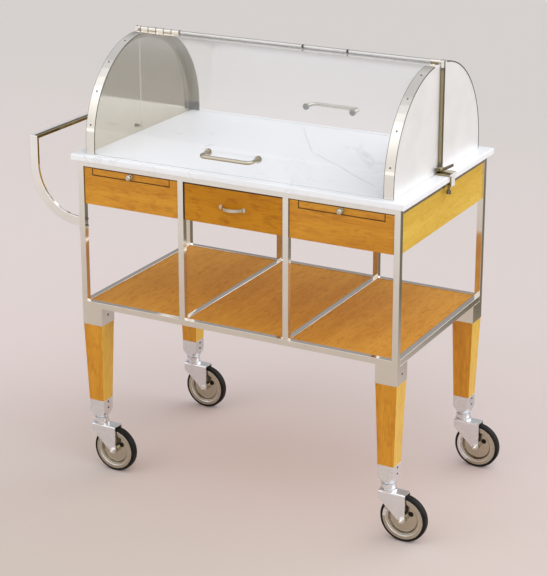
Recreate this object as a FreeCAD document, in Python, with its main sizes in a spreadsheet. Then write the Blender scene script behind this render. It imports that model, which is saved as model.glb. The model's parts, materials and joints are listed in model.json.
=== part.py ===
"""A cheese cart: a square-tube frame on four castered legs, with a marble top, a drawer,
two pull-out boards, a push handle and a clear cover in two halves that hinge at the ridge.

Millimetres. X runs along the cart (push handle at -X), -Y is the front, Z is up from the floor.
Each piece is modelled about the middle of the frame and written with the origin under the middle
of the whole cart.
"""

import math
import os
import re

import FreeCAD
import Part
import Sketcher

Vector = FreeCAD.Vector
Rotation = FreeCAD.Rotation

DRIVING = {
    "frame_length": 920,
    "frame_depth": 548,
    "tube": 16,
    "tube_wall": 1.5,
    "worktop_height": 896,
    "marble_thick": 17,
    "marble_overhang": 14,
    "marble_round": 3,
    "shelf_height": 490,
    "shelf_thick": 10,
    "shelf_recess": 2,
    "panel_height": 102,
    "panel_thick": 12,
    "panel_recess": 4,
    "back_thick": 10,
    "partition_thick": 12,
    "running_gap": 0.3,
    "front_gap": 1,
    "board_width": 230,
    "board_thick": 18,
    "board_back_gap": 48,
    "tray_thick": 8,
    "ledge_width": 12,
    "ledge_height": 8,
    "drawer_back_gap": 76,
    "drawer_wall": 9,
    "drawer_bottom": 5,
    "drawer_height": 80,
    "drawer_side_gap": 3,
    "pull_span": 64,
    "pull_rise": 22,
    "pull_strap": 8,
    "pull_strap_thick": 3.5,
    "pull_foot": 6,
    "pull_foot_height": 2.5,
    "knob_radius": 8,
    "knob_length": 16,
    "knob_bevel": 3,
    "knob_neck": 6,
    "knob_neck_radius": 4.5,
    "knob_base": 2,
    "knob_base_radius": 6.5,
    "socket_width": 60,
    "socket_height": 50,
    "socket_wall": 1.5,
    "leg_top_width": 58.5,
    "leg_foot_width": 45,
    "leg_round": 1.5,
    "ferrule_width": 46,
    "ferrule_height": 54,
    "ferrule_wall": 2,
    "ferrule_depth": 30,
    "ferrule_end_radius": 15,
    "ferrule_corner_radius": 31,
    "ferrule_taper": 22,
    "caster_height": 150,
    "wheel_radius": 62.5,
    "rim_radius": 55,
    "rim_flange": 9,
    "rim_inset": 1,
    "tyre_width": 24,
    "tyre_shoulder": 4,
    "hub_radius": 10,
    "hub_width": 28,
    "web_thick": 2.5,
    "web_dish": 7,
    "dish_radius": 36,
    "dish_slope": 5,
    "disc_hole_radius": 6.5,
    "disc_hole_x": 19,
    "disc_hole_z": 14,
    "axle_radius": 4,
    "axle_head_radius": 7.5,
    "axle_head": 4,
    "stem_radius": 6,
    "stem_length": 20,
    "crown_radius": 21,
    "race_radius": 18.5,
    "race_groove": 3,
    "race_groove_height": 2,
    "crown_flange": 5,
    "wheel_clear": 3,
    "fork_plate": 3,
    "fork_bend": 4,
    "fork_drop": 20,
    "fork_eye_radius": 8.5,
    "trail": 44,
    "swivel_gap": 0.5,
    "fit_gap": 0.05,
    "handle_reach": 155,
    "handle_bar": 25,
    "handle_bar_thick": 9,
    "handle_top": 925,
    "handle_low": 696,
    "handle_foot_height": 52,
    "handle_foot_thick": 4,
    "dome_setback": 22,
    "dome_rise": 253.7,
    "dome_skirt": 24,
    "dome_inset": 37,
    "sheet_thick": 3,
    "end_thick": 2,
    "band_thick": 1.5,
    "band_width": 25,
    "flange_width": 20,
    "flange_thick": 1.5,
    "seat_gap": 0.5,
    "ridge_gap": 1,
    "rod_radius": 3,
    "knuckle_radius": 5.5,
    "leaf_length": 120,
    "leaf_width": 30,
    "leaf_thick": 1.5,
    "leaf_relief": 6.5,
    "leaf_inset": 4,
    "band_gap": 2,
    "lug_length": 11,
    "lug_inset": 2,
    "lug_lap": 3,
    "grip_above": 28,
    "grip_span": 142,
    "grip_height": 44,
    "grip_rod": 5,
    "grip_bend": 14,
    "grip_foot_radius": 9,
    "grip_foot_height": 6,
    "upright_gap": 2,
    "upright_thick": 8,
    "upright_width": 10,
    "clamp_width": 42,
    "clamp_strap": 22,
    "clamp_plate": 5,
    "clamp_screw_radius": 3,
    "clamp_knob_radius": 6,
    "clamp_knob_height": 9,
    "clamp_drop": 12,
    "clamp_screw_length": 33,
    "clamp_clear": 1,
}

DERIVED = {
    "half_length": "frame_length / 2",
    "half_depth": "frame_depth / 2",
    "core": "tube - 2 * tube_wall",
    "marble_bottom": "worktop_height - marble_thick",
    "panel_top": "marble_bottom - tube",
    "panel_bottom": "panel_top - panel_height",
    "shelf_rail_bottom": "shelf_height - tube",
    "post_height": "marble_bottom - shelf_rail_bottom",
    "bay_clear": "(frame_length - 4 * tube) / 3",
    "bay_pitch": "bay_clear + tube",
    "inner_depth": "frame_depth - 2 * tube",
    "panel_inner": "panel_recess + panel_thick",
    "back_front": "half_depth - tube - back_thick",
    "carcass_front": "-half_depth + tube",
    "front_face": "-half_depth + panel_recess",
    "board_top": "panel_top - 2 * front_gap",
    "board_bottom": "board_top - board_thick",
    "tray_top": "board_bottom - running_gap",
    "drawer_width": "bay_clear - 2 * front_gap",
    "box_width": "drawer_width - 2 * drawer_side_gap",
    "box_bottom": "panel_bottom + ledge_height + running_gap",
    "box_front": "front_face + panel_thick",
    "board_length": "back_front - front_face - board_back_gap",
    "drawer_depth": "back_front - box_front - drawer_back_gap",
    "pull_radius": "(pull_span ^ 2 / 4 + pull_rise ^ 2) / (2 * pull_rise)",
    "pull_height": "panel_bottom + panel_height / 2",
    "socket_bottom": "shelf_rail_bottom - socket_height",
    "socket_inside": "socket_width - 2 * socket_wall",
    "socket_x": "half_length - socket_width / 2",
    "socket_y": "half_depth - socket_width / 2",
    "ferrule_top": "caster_height + ferrule_height",
    "ferrule_inside": "ferrule_width - 2 * ferrule_wall",
    "ferrule_shoulder": "caster_height + ferrule_taper",
    "leg_length": "socket_bottom - ferrule_top",
    "rim_half": "tyre_width / 2 - rim_inset",
    "rim_inner": "rim_radius - rim_flange",
    "crown_top": "caster_height - swivel_gap",
    "bridge_bottom": "2 * wheel_radius + wheel_clear",
    "bridge_top": "bridge_bottom + fork_plate",
    "fork_inside": "hub_width / 2 + running_gap",
    "fork_outside": "fork_inside + fork_plate",
    "fork_heel": "trail + fork_eye_radius",
    "fork_run": "trail + crown_radius",
    "fork_fall": "bridge_top - fork_drop - wheel_radius",
    "fork_slant": "sqrt(fork_run ^ 2 + fork_fall ^ 2)",
    "fork_toe_x": "trail - fork_eye_radius * fork_fall / fork_slant",
    "fork_toe_z": "wheel_radius - fork_eye_radius * fork_run / fork_slant",
    "bolt_z": "handle_low + handle_bar / 2",
    "handle_arc_x": "-half_length - handle_foot_thick",
    "handle_arc_radius": "handle_reach - handle_foot_thick",
    "handle_arc_z": "handle_low + handle_arc_radius",
    "handle_out": "handle_arc_x - handle_arc_radius",
    "arm_y": "half_depth - tube / 2",
    "marble_end": "half_length + marble_overhang",
    "marble_edge": "half_depth + marble_overhang",
    "dome_half_length": "marble_end - dome_inset",
    "dome_half_depth": "marble_edge - dome_setback",
    "dome_base": "worktop_height + dome_skirt",
    "skirt_bottom": "worktop_height + seat_gap",
    "arch_radius": "(dome_half_depth ^ 2 + dome_rise ^ 2) / (2 * dome_half_depth)",
    "arch_setback": "dome_half_depth - arch_radius",
    "crest": "dome_base + arch_radius",
    "hinge_z": "crest + knuckle_radius",
    "sheet_half": "dome_half_length - end_thick",
    "leaf_left": "-sheet_half + leaf_inset",
    "knuckle_length": "leaf_length / 5",
    "lug_right": "sheet_half - lug_inset",
    "grip_z": "dome_base + grip_above",
    "grip_y": "arch_setback + sqrt(arch_radius ^ 2 - grip_above ^ 2)",
    "grip_reach": "grip_y + grip_height",
    "upright_in": "dome_half_length + upright_gap",
    "clamp_lip_z": "marble_bottom - clamp_drop",
    "clamp_screw_z": "marble_bottom - clamp_screw_length",
    "cart_left": "half_length + handle_reach",
    "cart_right": "socket_x + trail + wheel_radius",
    "cart_shift": "(cart_left - cart_right) / 2",
}

DOC = FreeCAD.newDocument("cheese_cart")
NODES = []
ALONG = {
    "x": Rotation(Vector(0, 1, 0), 90),
    "y": Rotation(Vector(1, 0, 0), -90),
    "z": Rotation(),
    "wedge": Rotation(Vector(1, 0, 0), 90),
}
LEFT, RIGHT = -1, 1
FRONT, REAR = -1, 1
CORNERS = {
    "front_left": (LEFT, FRONT),
    "front_right": (RIGHT, FRONT),
    "rear_left": (LEFT, REAR),
    "rear_right": (RIGHT, REAR),
}


def make_sheet():
    """The spreadsheet: driving sizes as plain numbers, then the sizes worked out from them."""
    sheet = DOC.addObject("Spreadsheet::Sheet", "dims")
    cells = {alias: str(value) for alias, value in DRIVING.items()}
    cells.update({alias: "=" + formula for alias, formula in DERIVED.items()})
    for row, (alias, content) in enumerate(cells.items(), 1):
        sheet.set(f"A{row}", alias)
        sheet.setAlias(f"B{row}", alias)
        sheet.set(f"B{row}", content)
    DOC.recompute()


def qualified(text):
    """An expression with each size's name pointing into the spreadsheet."""

    def point(match):
        word = match.group()
        return f"dims.{word}" if word in DRIVING or word in DERIVED else word

    return re.sub(r"[a-z][a-z_]*", point, text)


def bind(thing, **expressions):
    for path, text in expressions.items():
        thing.setExpression(path, qualified(text))


def place(thing, at, rotation=None):
    if rotation is not None:
        thing.Placement = FreeCAD.Placement(Vector(), rotation)
    for axis, text in zip("xyz", at):
        thing.setExpression(f"Placement.Base.{axis}", qualified(text))
    return thing


def box(name, size, corner):
    block = DOC.addObject("Part::Box", name)
    bind(block, Length=size[0], Width=size[1], Height=size[2])
    return place(block, corner)


def span_box(name, xs, ys, zs):
    """A box from its low and high limits along each axis."""
    ranges = (xs, ys, zs)
    size = [f"({high}) - ({low})" for low, high in ranges]
    return box(name, size, [low for low, high in ranges])


def bar(name, radius, length, start, axis):
    """A round bar that runs from its start along an axis."""
    cylinder = DOC.addObject("Part::Cylinder", name)
    bind(cylinder, Radius=radius, Height=length)
    return place(cylinder, start, ALONG[axis])


def fuse(name, *pieces):
    joined = DOC.addObject("Part::MultiFuse", name)
    joined.Shapes = list(pieces)
    joined.Refine = True
    return joined


def cut(name, base, *tools):
    result = DOC.addObject("Part::Cut", name)
    result.Base = base
    result.Tool = tools[0] if len(tools) == 1 else fuse(f"{name}_tools", *tools)
    result.Refine = True
    return result


def common(name, first, second):
    result = DOC.addObject("Part::Common", name)
    result.Base = first
    result.Tool = second
    result.Refine = True
    return result


def mirrored(name, source, normal):
    """The same piece on the other side of the cart's middle plane."""
    result = DOC.addObject("Part::Mirroring", name)
    result.Source = source
    result.Normal = normal
    return result


def node(thing, name):
    thing.Label = name
    NODES.append((name, thing))
    return thing


def limits(side, near, far):
    """Low and high limits of what lies between two distances from the middle, on one side of it."""
    return (near, far) if side > 0 else (f"-({far})", f"-({near})")


def new_body(name, at):
    return place(DOC.addObject("PartDesign::Body", name), at)


def primitive(body, kind, name, at, axis="z", **sizes):
    feature = body.newObject(f"PartDesign::{kind}", name)
    bind(feature, **sizes)
    return place(feature, at, ALONG[axis])


def edges(feature, wanted):
    """The names of those edges of a feature that pass a test."""
    DOC.recompute()
    return [f"Edge{k}" for k, edge in enumerate(feature.Shape.Edges, 1) if wanted(edge)]


def rises(edge):
    """Whether an edge runs upwards."""
    heights = [vertex.Z for vertex in edge.Vertexes]
    return max(heights) - min(heights) > edge.Length / 2


def fillet(body, base, chosen, radius):
    feature = body.newObject("PartDesign::Fillet", f"{body.Name}_round")
    feature.Base = (base, chosen)
    bind(feature, Radius=radius)
    return feature


def profile(body, name, plane, points):
    """A closed outline of straight sides whose corners are all held by expressions."""
    sketch = body.newObject("Sketcher::SketchObject", name)
    origin_plane = next(f for f in body.Origin.OriginFeatures if f.Role == f"{plane}_Plane")
    sketch.AttachmentSupport = [(origin_plane, "")]
    sketch.MapMode = "FlatFace"
    count = len(points)
    turns = [2 * math.pi * k / count for k in range(count)]
    corners = [Vector(math.cos(turn), math.sin(turn), 0) for turn in turns]
    for k in range(count):
        sketch.addGeometry(Part.LineSegment(corners[k], corners[(k + 1) % count]))
    for k in range(count):
        sketch.addConstraint(Sketcher.Constraint("Coincident", k, 2, (k + 1) % count, 1))
    for k, corner in enumerate(points):
        for kind, text, value in zip(("DistanceX", "DistanceY"), corner, corners[k]):
            index = sketch.addConstraint(Sketcher.Constraint(kind, -1, 1, k, 1, value))
            sketch.setExpression(f"Constraints[{index}]", qualified(text))
    return sketch


def revolved(body, name, points, plane="XY"):
    """A solid turned about a plane's second axis; points are (distance from the axis, place along it)."""
    outline = profile(body, f"{name}_outline", plane, points)
    turned = body.newObject("PartDesign::Revolution", name)
    turned.Profile = outline
    turned.ReferenceAxis = (outline, ["V_Axis"])
    turned.Angle = 360
    return turned


def ladder_frame(name, side):
    """Four posts between two long rails, hollow, with a square leg socket under each end post."""
    y_low = limits(side, "half_depth - tube", "half_depth")[0]
    socket_y = limits(side, "half_depth - socket_width", "half_depth")[0]
    post_x = ["-half_length", "-bay_pitch / 2 - tube / 2", "bay_pitch / 2 - tube / 2", "half_length - tube"]
    solids, hollows = [], []
    for k, x in enumerate(post_x):
        corner = (x, y_low, "shelf_rail_bottom")
        solids.append(box(f"{name}_post_{k}", ("tube", "tube", "post_height"), corner))
        corner = (f"{x} + tube_wall", f"{y_low} + tube_wall", "shelf_rail_bottom + tube_wall")
        size = ("core", "core", "post_height - 2 * tube_wall")
        hollows.append(box(f"{name}_post_core_{k}", size, corner))
    for level, z in {"shelf": "shelf_rail_bottom", "top": "panel_top"}.items():
        size = ("frame_length", "tube", "tube")
        solids.append(box(f"{name}_{level}_rail", size, ("-half_length", y_low, z)))
        for k, x in enumerate(post_x[:-1]):
            inside = (f"{x} + tube", f"{y_low} + tube_wall", f"{z} + tube_wall")
            hollows.append(box(f"{name}_{level}_core_{k}", ("bay_clear", "core", "core"), inside))
    for k, x in enumerate(("-half_length", "half_length - socket_width")):
        size = ("socket_width", "socket_width", "socket_height")
        solids.append(box(f"{name}_socket_{k}", size, (x, socket_y, "socket_bottom")))
        size = ("socket_inside", "socket_inside", "socket_height - socket_wall")
        inside = (f"{x} + socket_wall", f"{socket_y} + socket_wall", "socket_bottom")
        hollows.append(box(f"{name}_pocket_{k}", size, inside))
    node(cut(name, fuse(f"{name}_solid", *solids), *hollows), name)


def cross_tube(name, x_low, z_low):
    """An open square tube from the front frame to the rear frame."""
    outside = box(f"{name}_outside", ("tube", "inner_depth", "tube"), (x_low, "carcass_front", z_low))
    inside_corner = (f"{x_low} + tube_wall", "carcass_front", f"{z_low} + tube_wall")
    inside = box(f"{name}_inside", ("core", "inner_depth", "core"), inside_corner)
    node(cut(name, outside, inside), name)


def frame():
    ladder_frame("front_frame", FRONT)
    ladder_frame("rear_frame", REAR)
    for name, x_low in {"left": "-half_length", "right": "half_length - tube"}.items():
        cross_tube(f"side_rail_{name}_top", x_low, "panel_top")
        cross_tube(f"side_rail_{name}_shelf", x_low, "shelf_rail_bottom")
    cross_tube("shelf_divider_left", "-bay_pitch / 2 - tube / 2", "shelf_rail_bottom")
    cross_tube("shelf_divider_right", "bay_pitch / 2 - tube / 2", "shelf_rail_bottom")


def marble_top():
    body = new_body("marble_top", ("-marble_end", "-marble_edge", "marble_bottom"))
    slab = primitive(
        body,
        "AdditiveBox",
        "marble_slab",
        ("0", "0", "0"),
        Length="2 * marble_end",
        Width="2 * marble_edge",
        Height="marble_thick",
    )
    fillet(body, slab, [f"Edge{k}" for k in range(1, 13)], "marble_round")
    node(body, "marble_top")


def shelves():
    for name, x_middle in {"left": "-bay_pitch", "centre": "0", "right": "bay_pitch"}.items():
        low = (f"{x_middle} - bay_clear / 2", "carcass_front", "shelf_height - shelf_recess - shelf_thick")
        label = f"shelf_{name}"
        node(box(label, ("bay_clear", "inner_depth", "shelf_thick"), low), label)


def panels():
    """The wooden skirt under the marble: the ends, the back and the fixed fronts with their board slots."""
    heights = ("panel_bottom", "panel_top")
    for word, side in {"left": LEFT, "right": RIGHT}.items():
        xs = limits(side, "half_length - panel_inner", "half_length - panel_recess")
        ends = ("carcass_front", "half_depth - tube")
        node(span_box(f"end_panel_{word}", xs, ends, heights), f"end_panel_{word}")

        bay = limits(side, "bay_pitch / 2 + tube / 2", "half_length - tube")
        depth = ("front_face", "front_face + panel_thick")
        board = span_box(f"fascia_{word}_board", bay, depth, heights)
        slot_half = "board_width / 2 + front_gap"
        slot_x = limits(side, f"bay_pitch - ({slot_half})", f"bay_pitch + {slot_half}")
        slot_z = ("board_bottom - front_gap", "board_top + front_gap")
        slot = span_box(f"fascia_{word}_slot", slot_x, depth, slot_z)
        node(cut(f"fascia_{word}", board, slot), f"fascia_{word}")
    xs = ("-half_length + panel_inner", "half_length - panel_inner")
    node(span_box("back_panel", xs, ("back_front", "half_depth - tube"), heights), "back_panel")


def partitions():
    """The walls beside the drawer, each with a ledge for the drawer and a tray and cleats for a board."""
    run = ("carcass_front", "back_front")
    wall_out = "bay_pitch / 2 + partition_thick / 2"
    wall_in = "bay_pitch / 2 - partition_thick / 2"
    panel_in = "half_length - panel_inner"
    board_in = "bay_pitch - board_width / 2 - running_gap"
    board_out = "bay_pitch + board_width / 2 + running_gap"
    cleat = ("tray_top", "panel_top")
    strips = {
        "wall": (wall_in, wall_out, ("panel_bottom", "panel_top")),
        "ledge": (f"{wall_in} - ledge_width", wall_in, ("panel_bottom", "panel_bottom + ledge_height")),
        "tray": (wall_out, panel_in, ("tray_top - tray_thick", "tray_top")),
        "cleat_in": (wall_out, board_in, cleat),
        "cleat_out": (board_out, panel_in, cleat),
    }
    for word, side in {"left": LEFT, "right": RIGHT}.items():
        name = f"partition_{word}"
        pieces = []
        for strip, (near, far, heights) in strips.items():
            pieces.append(span_box(f"{name}_{strip}", limits(side, near, far), run, heights))
        node(fuse(name, *pieces), name)


def drawer():
    width = ("-drawer_width / 2", "drawer_width / 2")
    depth = ("front_face", "box_front")
    heights = ("panel_bottom + front_gap", "panel_top - front_gap")
    node(span_box("drawer_front", width, depth, heights), "drawer_front")

    outside = box(
        "drawer_box_outside",
        ("box_width", "drawer_depth", "drawer_height"),
        ("-box_width / 2", "box_front", "box_bottom"),
    )
    inside = box(
        "drawer_box_inside",
        ("box_width - 2 * drawer_wall", "drawer_depth - 2 * drawer_wall", "drawer_height"),
        ("-box_width / 2 + drawer_wall", "box_front + drawer_wall", "box_bottom + drawer_bottom"),
    )
    node(cut("drawer_box", outside, inside), "drawer_box")

    strap_z = ("pull_height - pull_strap / 2", "pull_height + pull_strap / 2")
    centre = ("0", "front_face - pull_rise + pull_radius", strap_z[0])
    outside = bar("pull_outside", "pull_radius", "pull_strap", centre, "z")
    inside = bar("pull_inside", "pull_radius - pull_strap_thick", "pull_strap", centre, "z")
    depth = ("front_face - pull_rise", "front_face")
    before_front = span_box("pull_limits", ("-pull_span", "pull_span"), depth, strap_z)
    pieces = [common("pull_bow", cut("pull_ring", outside, inside), before_front)]
    for k, x in enumerate(("-pull_span / 2", "pull_span / 2")):
        start = (x, "front_face - pull_foot_height", "pull_height")
        pieces.append(bar(f"pull_foot_{k}", "pull_foot", "pull_foot_height", start, "y"))
    node(fuse("drawer_pull", *pieces), "drawer_pull")


def boards():
    """The two pull-out boards under the marble, each with a turned knob."""
    for word, x_middle in {"left": "-bay_pitch", "right": "bay_pitch"}.items():
        low = (f"{x_middle} - board_width / 2", "front_face", "board_bottom")
        node(box(f"board_{word}", ("board_width", "board_length", "board_thick"), low), f"board_{word}")

        body = new_body(f"knob_{word}", (x_middle, "front_face", "board_bottom + board_thick / 2"))
        revolved(
            body,
            f"knob_{word}_turned",
            [
                ("0", "0"),
                ("knob_base_radius", "0"),
                ("knob_base_radius", "-knob_base"),
                ("knob_neck_radius", "-knob_base"),
                ("knob_neck_radius", "-knob_neck"),
                ("knob_radius", "-knob_neck - knob_bevel"),
                ("knob_radius", "-knob_length + knob_bevel"),
                ("knob_radius - knob_bevel", "-knob_length"),
                ("0", "-knob_length"),
            ],
        )
        node(body, f"knob_{word}")


def legs():
    """Tapering legs, each with a tenon up into the frame's socket and one down into a rounded ferrule."""
    for word, (side_x, side_y) in CORNERS.items():
        at = (f"{side_x} * socket_x", f"{side_y} * socket_y", "0")
        body = new_body(f"leg_{word}", at)
        taper = primitive(
            body,
            "AdditiveWedge",
            f"leg_{word}_taper",
            ("0", "0", "ferrule_top"),
            "wedge",
            Xmin="-leg_foot_width / 2",
            Xmax="leg_foot_width / 2",
            Zmin="-leg_foot_width / 2",
            Zmax="leg_foot_width / 2",
            Ymin="0",
            Ymax="leg_length",
            X2min="-leg_top_width / 2",
            X2max="leg_top_width / 2",
            Z2min="-leg_top_width / 2",
            Z2max="leg_top_width / 2",
        )
        fillet(body, taper, edges(taper, rises), "leg_round")
        tenons = {
            "top": ("socket_inside", "socket_height - socket_wall", "socket_bottom"),
            "foot": ("ferrule_inside", "ferrule_depth", "ferrule_top - ferrule_depth"),
        }
        for end, (width, height, z_low) in tenons.items():
            corner = (f"-{width} / 2", f"-{width} / 2", z_low)
            name = f"leg_{word}_{end}_tenon"
            primitive(body, "AdditiveBox", name, corner, Length=width, Width=width, Height=height)
        node(body, f"leg_{word}")
        ferrule(word, at)


def ferrule(word, at):
    """A square cup that narrows to a round foot, bored for the caster's stem."""
    name = f"ferrule_{word}"
    x, y, _ = at

    def centred(part, width, heights):
        xs = (f"{x} - {width} / 2", f"{x} + {width} / 2")
        ys = (f"{y} - {width} / 2", f"{y} + {width} / 2")
        return span_box(f"{name}_{part}", xs, ys, heights)

    block = centred("block", "ferrule_width", ("caster_height", "ferrule_top"))
    foot = DOC.addObject("Part::Cone", f"{name}_foot")
    bind(foot, Radius1="ferrule_end_radius", Radius2="ferrule_corner_radius", Height="ferrule_taper")
    place(foot, (x, y, "caster_height"))
    start = (x, y, "ferrule_shoulder")
    above = bar(f"{name}_above", "ferrule_corner_radius", "ferrule_height - ferrule_taper", start, "z")
    cup = common(f"{name}_cup", block, fuse(f"{name}_rounding", foot, above))
    pocket = centred("pocket", "ferrule_inside", ("ferrule_top - ferrule_depth", "ferrule_top"))
    bore = bar(f"{name}_bore", "stem_radius", "stem_length", (x, y, "caster_height"), "z")
    node(cut(name, cup, pocket, bore), name)


def casters():
    """Four swivel casters, all trailing the same way: a fork, a dished disc and a tyre."""
    for word, (side_x, side_y) in CORNERS.items():
        stem = (f"{side_x} * socket_x", f"{side_y} * socket_y", "0")
        hub = (f"{side_x} * socket_x + trail", f"{side_y} * socket_y", "wheel_radius")
        fork(f"fork_{word}", stem)
        wheel_disc(f"disc_{word}", hub)
        tyre(f"tyre_{word}", hub)


def fork(name, at):
    """A pressed fork: a bridge bent down into two cheeks, with the swivel race, stem and axle bolt."""
    body = new_body(name, at)
    outline = profile(
        body,
        f"{name}_cheek_outline",
        "XZ",
        [
            ("-crown_radius", "bridge_top"),
            ("fork_heel", "bridge_top"),
            ("fork_heel", "wheel_radius"),
            ("trail", "wheel_radius"),
            ("fork_toe_x", "fork_toe_z"),
            ("-crown_radius", "bridge_top - fork_drop"),
        ],
    )
    cheeks = body.newObject("PartDesign::Pad", f"{name}_cheeks")
    cheeks.Profile = outline
    cheeks.SideType = "Symmetric"
    bind(cheeks, Length="2 * fork_outside")
    fillet(body, cheeks, edges(cheeks, along_top("bridge_top")), "fork_bend")
    bolt = {"Height": "2 * fork_outside"}
    across = ("trail", "-fork_outside", "wheel_radius")
    primitive(body, "AdditiveCylinder", f"{name}_eye", across, "y", Radius="fork_eye_radius", **bolt)
    primitive(
        body,
        "SubtractiveBox",
        f"{name}_gap",
        ("-crown_radius", "-fork_inside", "0"),
        Length="fork_run + wheel_radius",
        Width="2 * fork_inside",
        Height="bridge_bottom",
    )
    primitive(body, "AdditiveCylinder", f"{name}_axle", across, "y", Radius="axle_radius", **bolt)
    for end, y in {"front": "-fork_outside - axle_head", "rear": "fork_outside"}.items():
        head = {"Radius": "axle_head_radius", "Height": "axle_head"}
        primitive(body, "AdditiveCylinder", f"{name}_head_{end}", ("trail", y, "wheel_radius"), "y", **head)
    groove_low = "bridge_top + crown_flange"
    groove_high = f"{groove_low} + race_groove_height"
    revolved(
        body,
        f"{name}_race",
        [
            ("0", "bridge_top"),
            ("crown_radius", "bridge_top"),
            ("crown_radius", groove_low),
            ("race_radius - race_groove", groove_low),
            ("race_radius - race_groove", groove_high),
            ("race_radius", groove_high),
            ("race_radius", "crown_top"),
            ("stem_radius - fit_gap", "crown_top"),
            ("stem_radius - fit_gap", "crown_top + stem_length - swivel_gap"),
            ("0", "crown_top + stem_length - swivel_gap"),
        ],
        "XZ",
    )
    node(body, name)


def along_top(alias):
    """A test that picks the edges that run along the cart at a height of that name."""
    height = getattr(DOC.dims, alias)

    def wanted(edge):
        first, last = edge.Vertexes[0], edge.Vertexes[-1]
        return abs(first.Z - height) + abs(last.Z - height) < 1e-6 and abs(first.Y - last.Y) < 1e-6

    return wanted


def wheel_disc(name, at):
    """A pressed disc with a hub, a ring-shaped step, a flanged rim and one round hole beside the hub."""
    body = new_body(name, at)
    bore = "axle_radius + fit_gap"
    half_hub = "hub_width / 2"
    half_web = "web_thick / 2"
    step = "dish_radius + dish_slope"
    revolved(
        body,
        f"{name}_turned",
        [
            (bore, f"-{half_hub}"),
            ("hub_radius", f"-{half_hub}"),
            ("hub_radius", f"-{half_web}"),
            ("dish_radius", f"-{half_web}"),
            (step, f"-web_dish - {half_web}"),
            ("rim_inner", f"-web_dish - {half_web}"),
            ("rim_inner", "-rim_half"),
            ("rim_radius", "-rim_half"),
            ("rim_radius", "rim_half"),
            ("rim_inner", "rim_half"),
            ("rim_inner", f"-web_dish + {half_web}"),
            (step, f"-web_dish + {half_web}"),
            ("dish_radius", half_web),
            ("hub_radius", half_web),
            ("hub_radius", half_hub),
            (bore, half_hub),
        ],
    )
    primitive(
        body,
        "SubtractiveCylinder",
        f"{name}_hole",
        ("disc_hole_x", "-hub_width", "disc_hole_z"),
        "y",
        Radius="disc_hole_radius",
        Height="2 * hub_width",
    )
    node(body, name)


def tyre(name, at):
    body = new_body(name, at)
    half = "tyre_width / 2"
    revolved(
        body,
        f"{name}_turned",
        [
            ("rim_radius", f"-{half}"),
            ("wheel_radius - tyre_shoulder", f"-{half}"),
            ("wheel_radius", f"-{half} + tyre_shoulder"),
            ("wheel_radius", f"{half} - tyre_shoulder"),
            ("wheel_radius - tyre_shoulder", half),
            ("rim_radius", half),
        ],
    )
    node(body, name)


def push_handle():
    """A flat bar bent from each left post round a quarter circle, joined by a bar across the cart's end."""
    arc_in = "handle_arc_radius - handle_bar"
    pieces = []
    for word, side in {"front": FRONT, "rear": REAR}.items():
        y_low = f"{side} * arm_y - handle_bar_thick / 2"
        ys = (y_low, f"{side} * arm_y + handle_bar_thick / 2")
        start = ("handle_arc_x", y_low, "handle_arc_z")
        disc = bar(f"handle_{word}_disc", "handle_arc_radius", "handle_bar_thick", start, "y")
        hole = bar(f"handle_{word}_hole", arc_in, "handle_bar_thick", start, "y")
        quarter = span_box(
            f"handle_{word}_quarter",
            ("handle_out", "handle_arc_x"),
            ys,
            ("handle_arc_z - handle_arc_radius", "handle_arc_z"),
        )
        pieces.append(common(f"handle_{word}_bend", cut(f"handle_{word}_ring", disc, hole), quarter))
        xs = ("handle_out", "handle_out + handle_bar")
        pieces.append(span_box(f"handle_{word}_arm", xs, ys, ("handle_arc_z", "handle_top")))
        foot_z = ("bolt_z - handle_foot_height / 2", "bolt_z + handle_foot_height / 2")
        foot_y = (f"{side} * arm_y - tube / 2", f"{side} * arm_y + tube / 2")
        pieces.append(span_box(f"handle_{word}_foot", ("handle_arc_x", "-half_length"), foot_y, foot_z))
    grip_y = ("-arm_y - handle_bar_thick / 2", "arm_y + handle_bar_thick / 2")
    grip_z = ("handle_top - handle_bar_thick", "handle_top")
    pieces.append(span_box("handle_grip", ("handle_out", "handle_out + handle_bar"), grip_y, grip_z))
    node(fuse("push_handle", *pieces), "push_handle")


def uprights():
    """The two end bars that carry the ridge rod, each clamped over the marble's edge by a screw."""
    for word, side in {"left": LEFT, "right": RIGHT}.items():
        name = f"upright_{word}"
        outer = "marble_end + clamp_plate"
        width = ("-clamp_width / 2", "clamp_width / 2")
        strap = ("-clamp_strap / 2", "clamp_strap / 2")
        screw_x = f"{side} * (half_length + marble_overhang / 2)"
        post_y = ("-upright_width / 2", "upright_width / 2")
        post_x = limits(side, "upright_in", "upright_in + upright_thick")
        pieces = [
            span_box(f"{name}_post", post_x, post_y, ("worktop_height", "hinge_z + knuckle_radius")),
            span_box(
                f"{name}_claw",
                limits(side, "upright_in", outer),
                width,
                ("worktop_height", "worktop_height + clamp_plate"),
            ),
            span_box(
                f"{name}_cheek",
                limits(side, "marble_end", outer),
                strap,
                ("clamp_lip_z", "worktop_height + clamp_plate"),
            ),
            span_box(
                f"{name}_lip",
                limits(side, "half_length + clamp_clear", outer),
                strap,
                ("clamp_lip_z", "clamp_lip_z + clamp_plate"),
            ),
            bar(
                f"{name}_screw",
                "clamp_screw_radius",
                "clamp_screw_length",
                (screw_x, "0", "clamp_screw_z"),
                "z",
            ),
            bar(
                f"{name}_screw_knob",
                "clamp_knob_radius",
                "clamp_knob_height",
                (screw_x, "0", "clamp_screw_z"),
                "z",
            ),
        ]
        node(fuse(name, *pieces), name)
    rod = bar("ridge_rod", "rod_radius", "2 * upright_in", ("-upright_in", "0", "hinge_z"), "x")
    node(rod, "ridge_rod")


def arch_bar(name, radius, xs):
    """A round block along the cart, on the axis of the front cover's curve."""
    length = f"({xs[1]}) - ({xs[0]})"
    return bar(name, radius, length, (xs[0], "-arch_setback", "dome_base"), "x")


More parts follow.
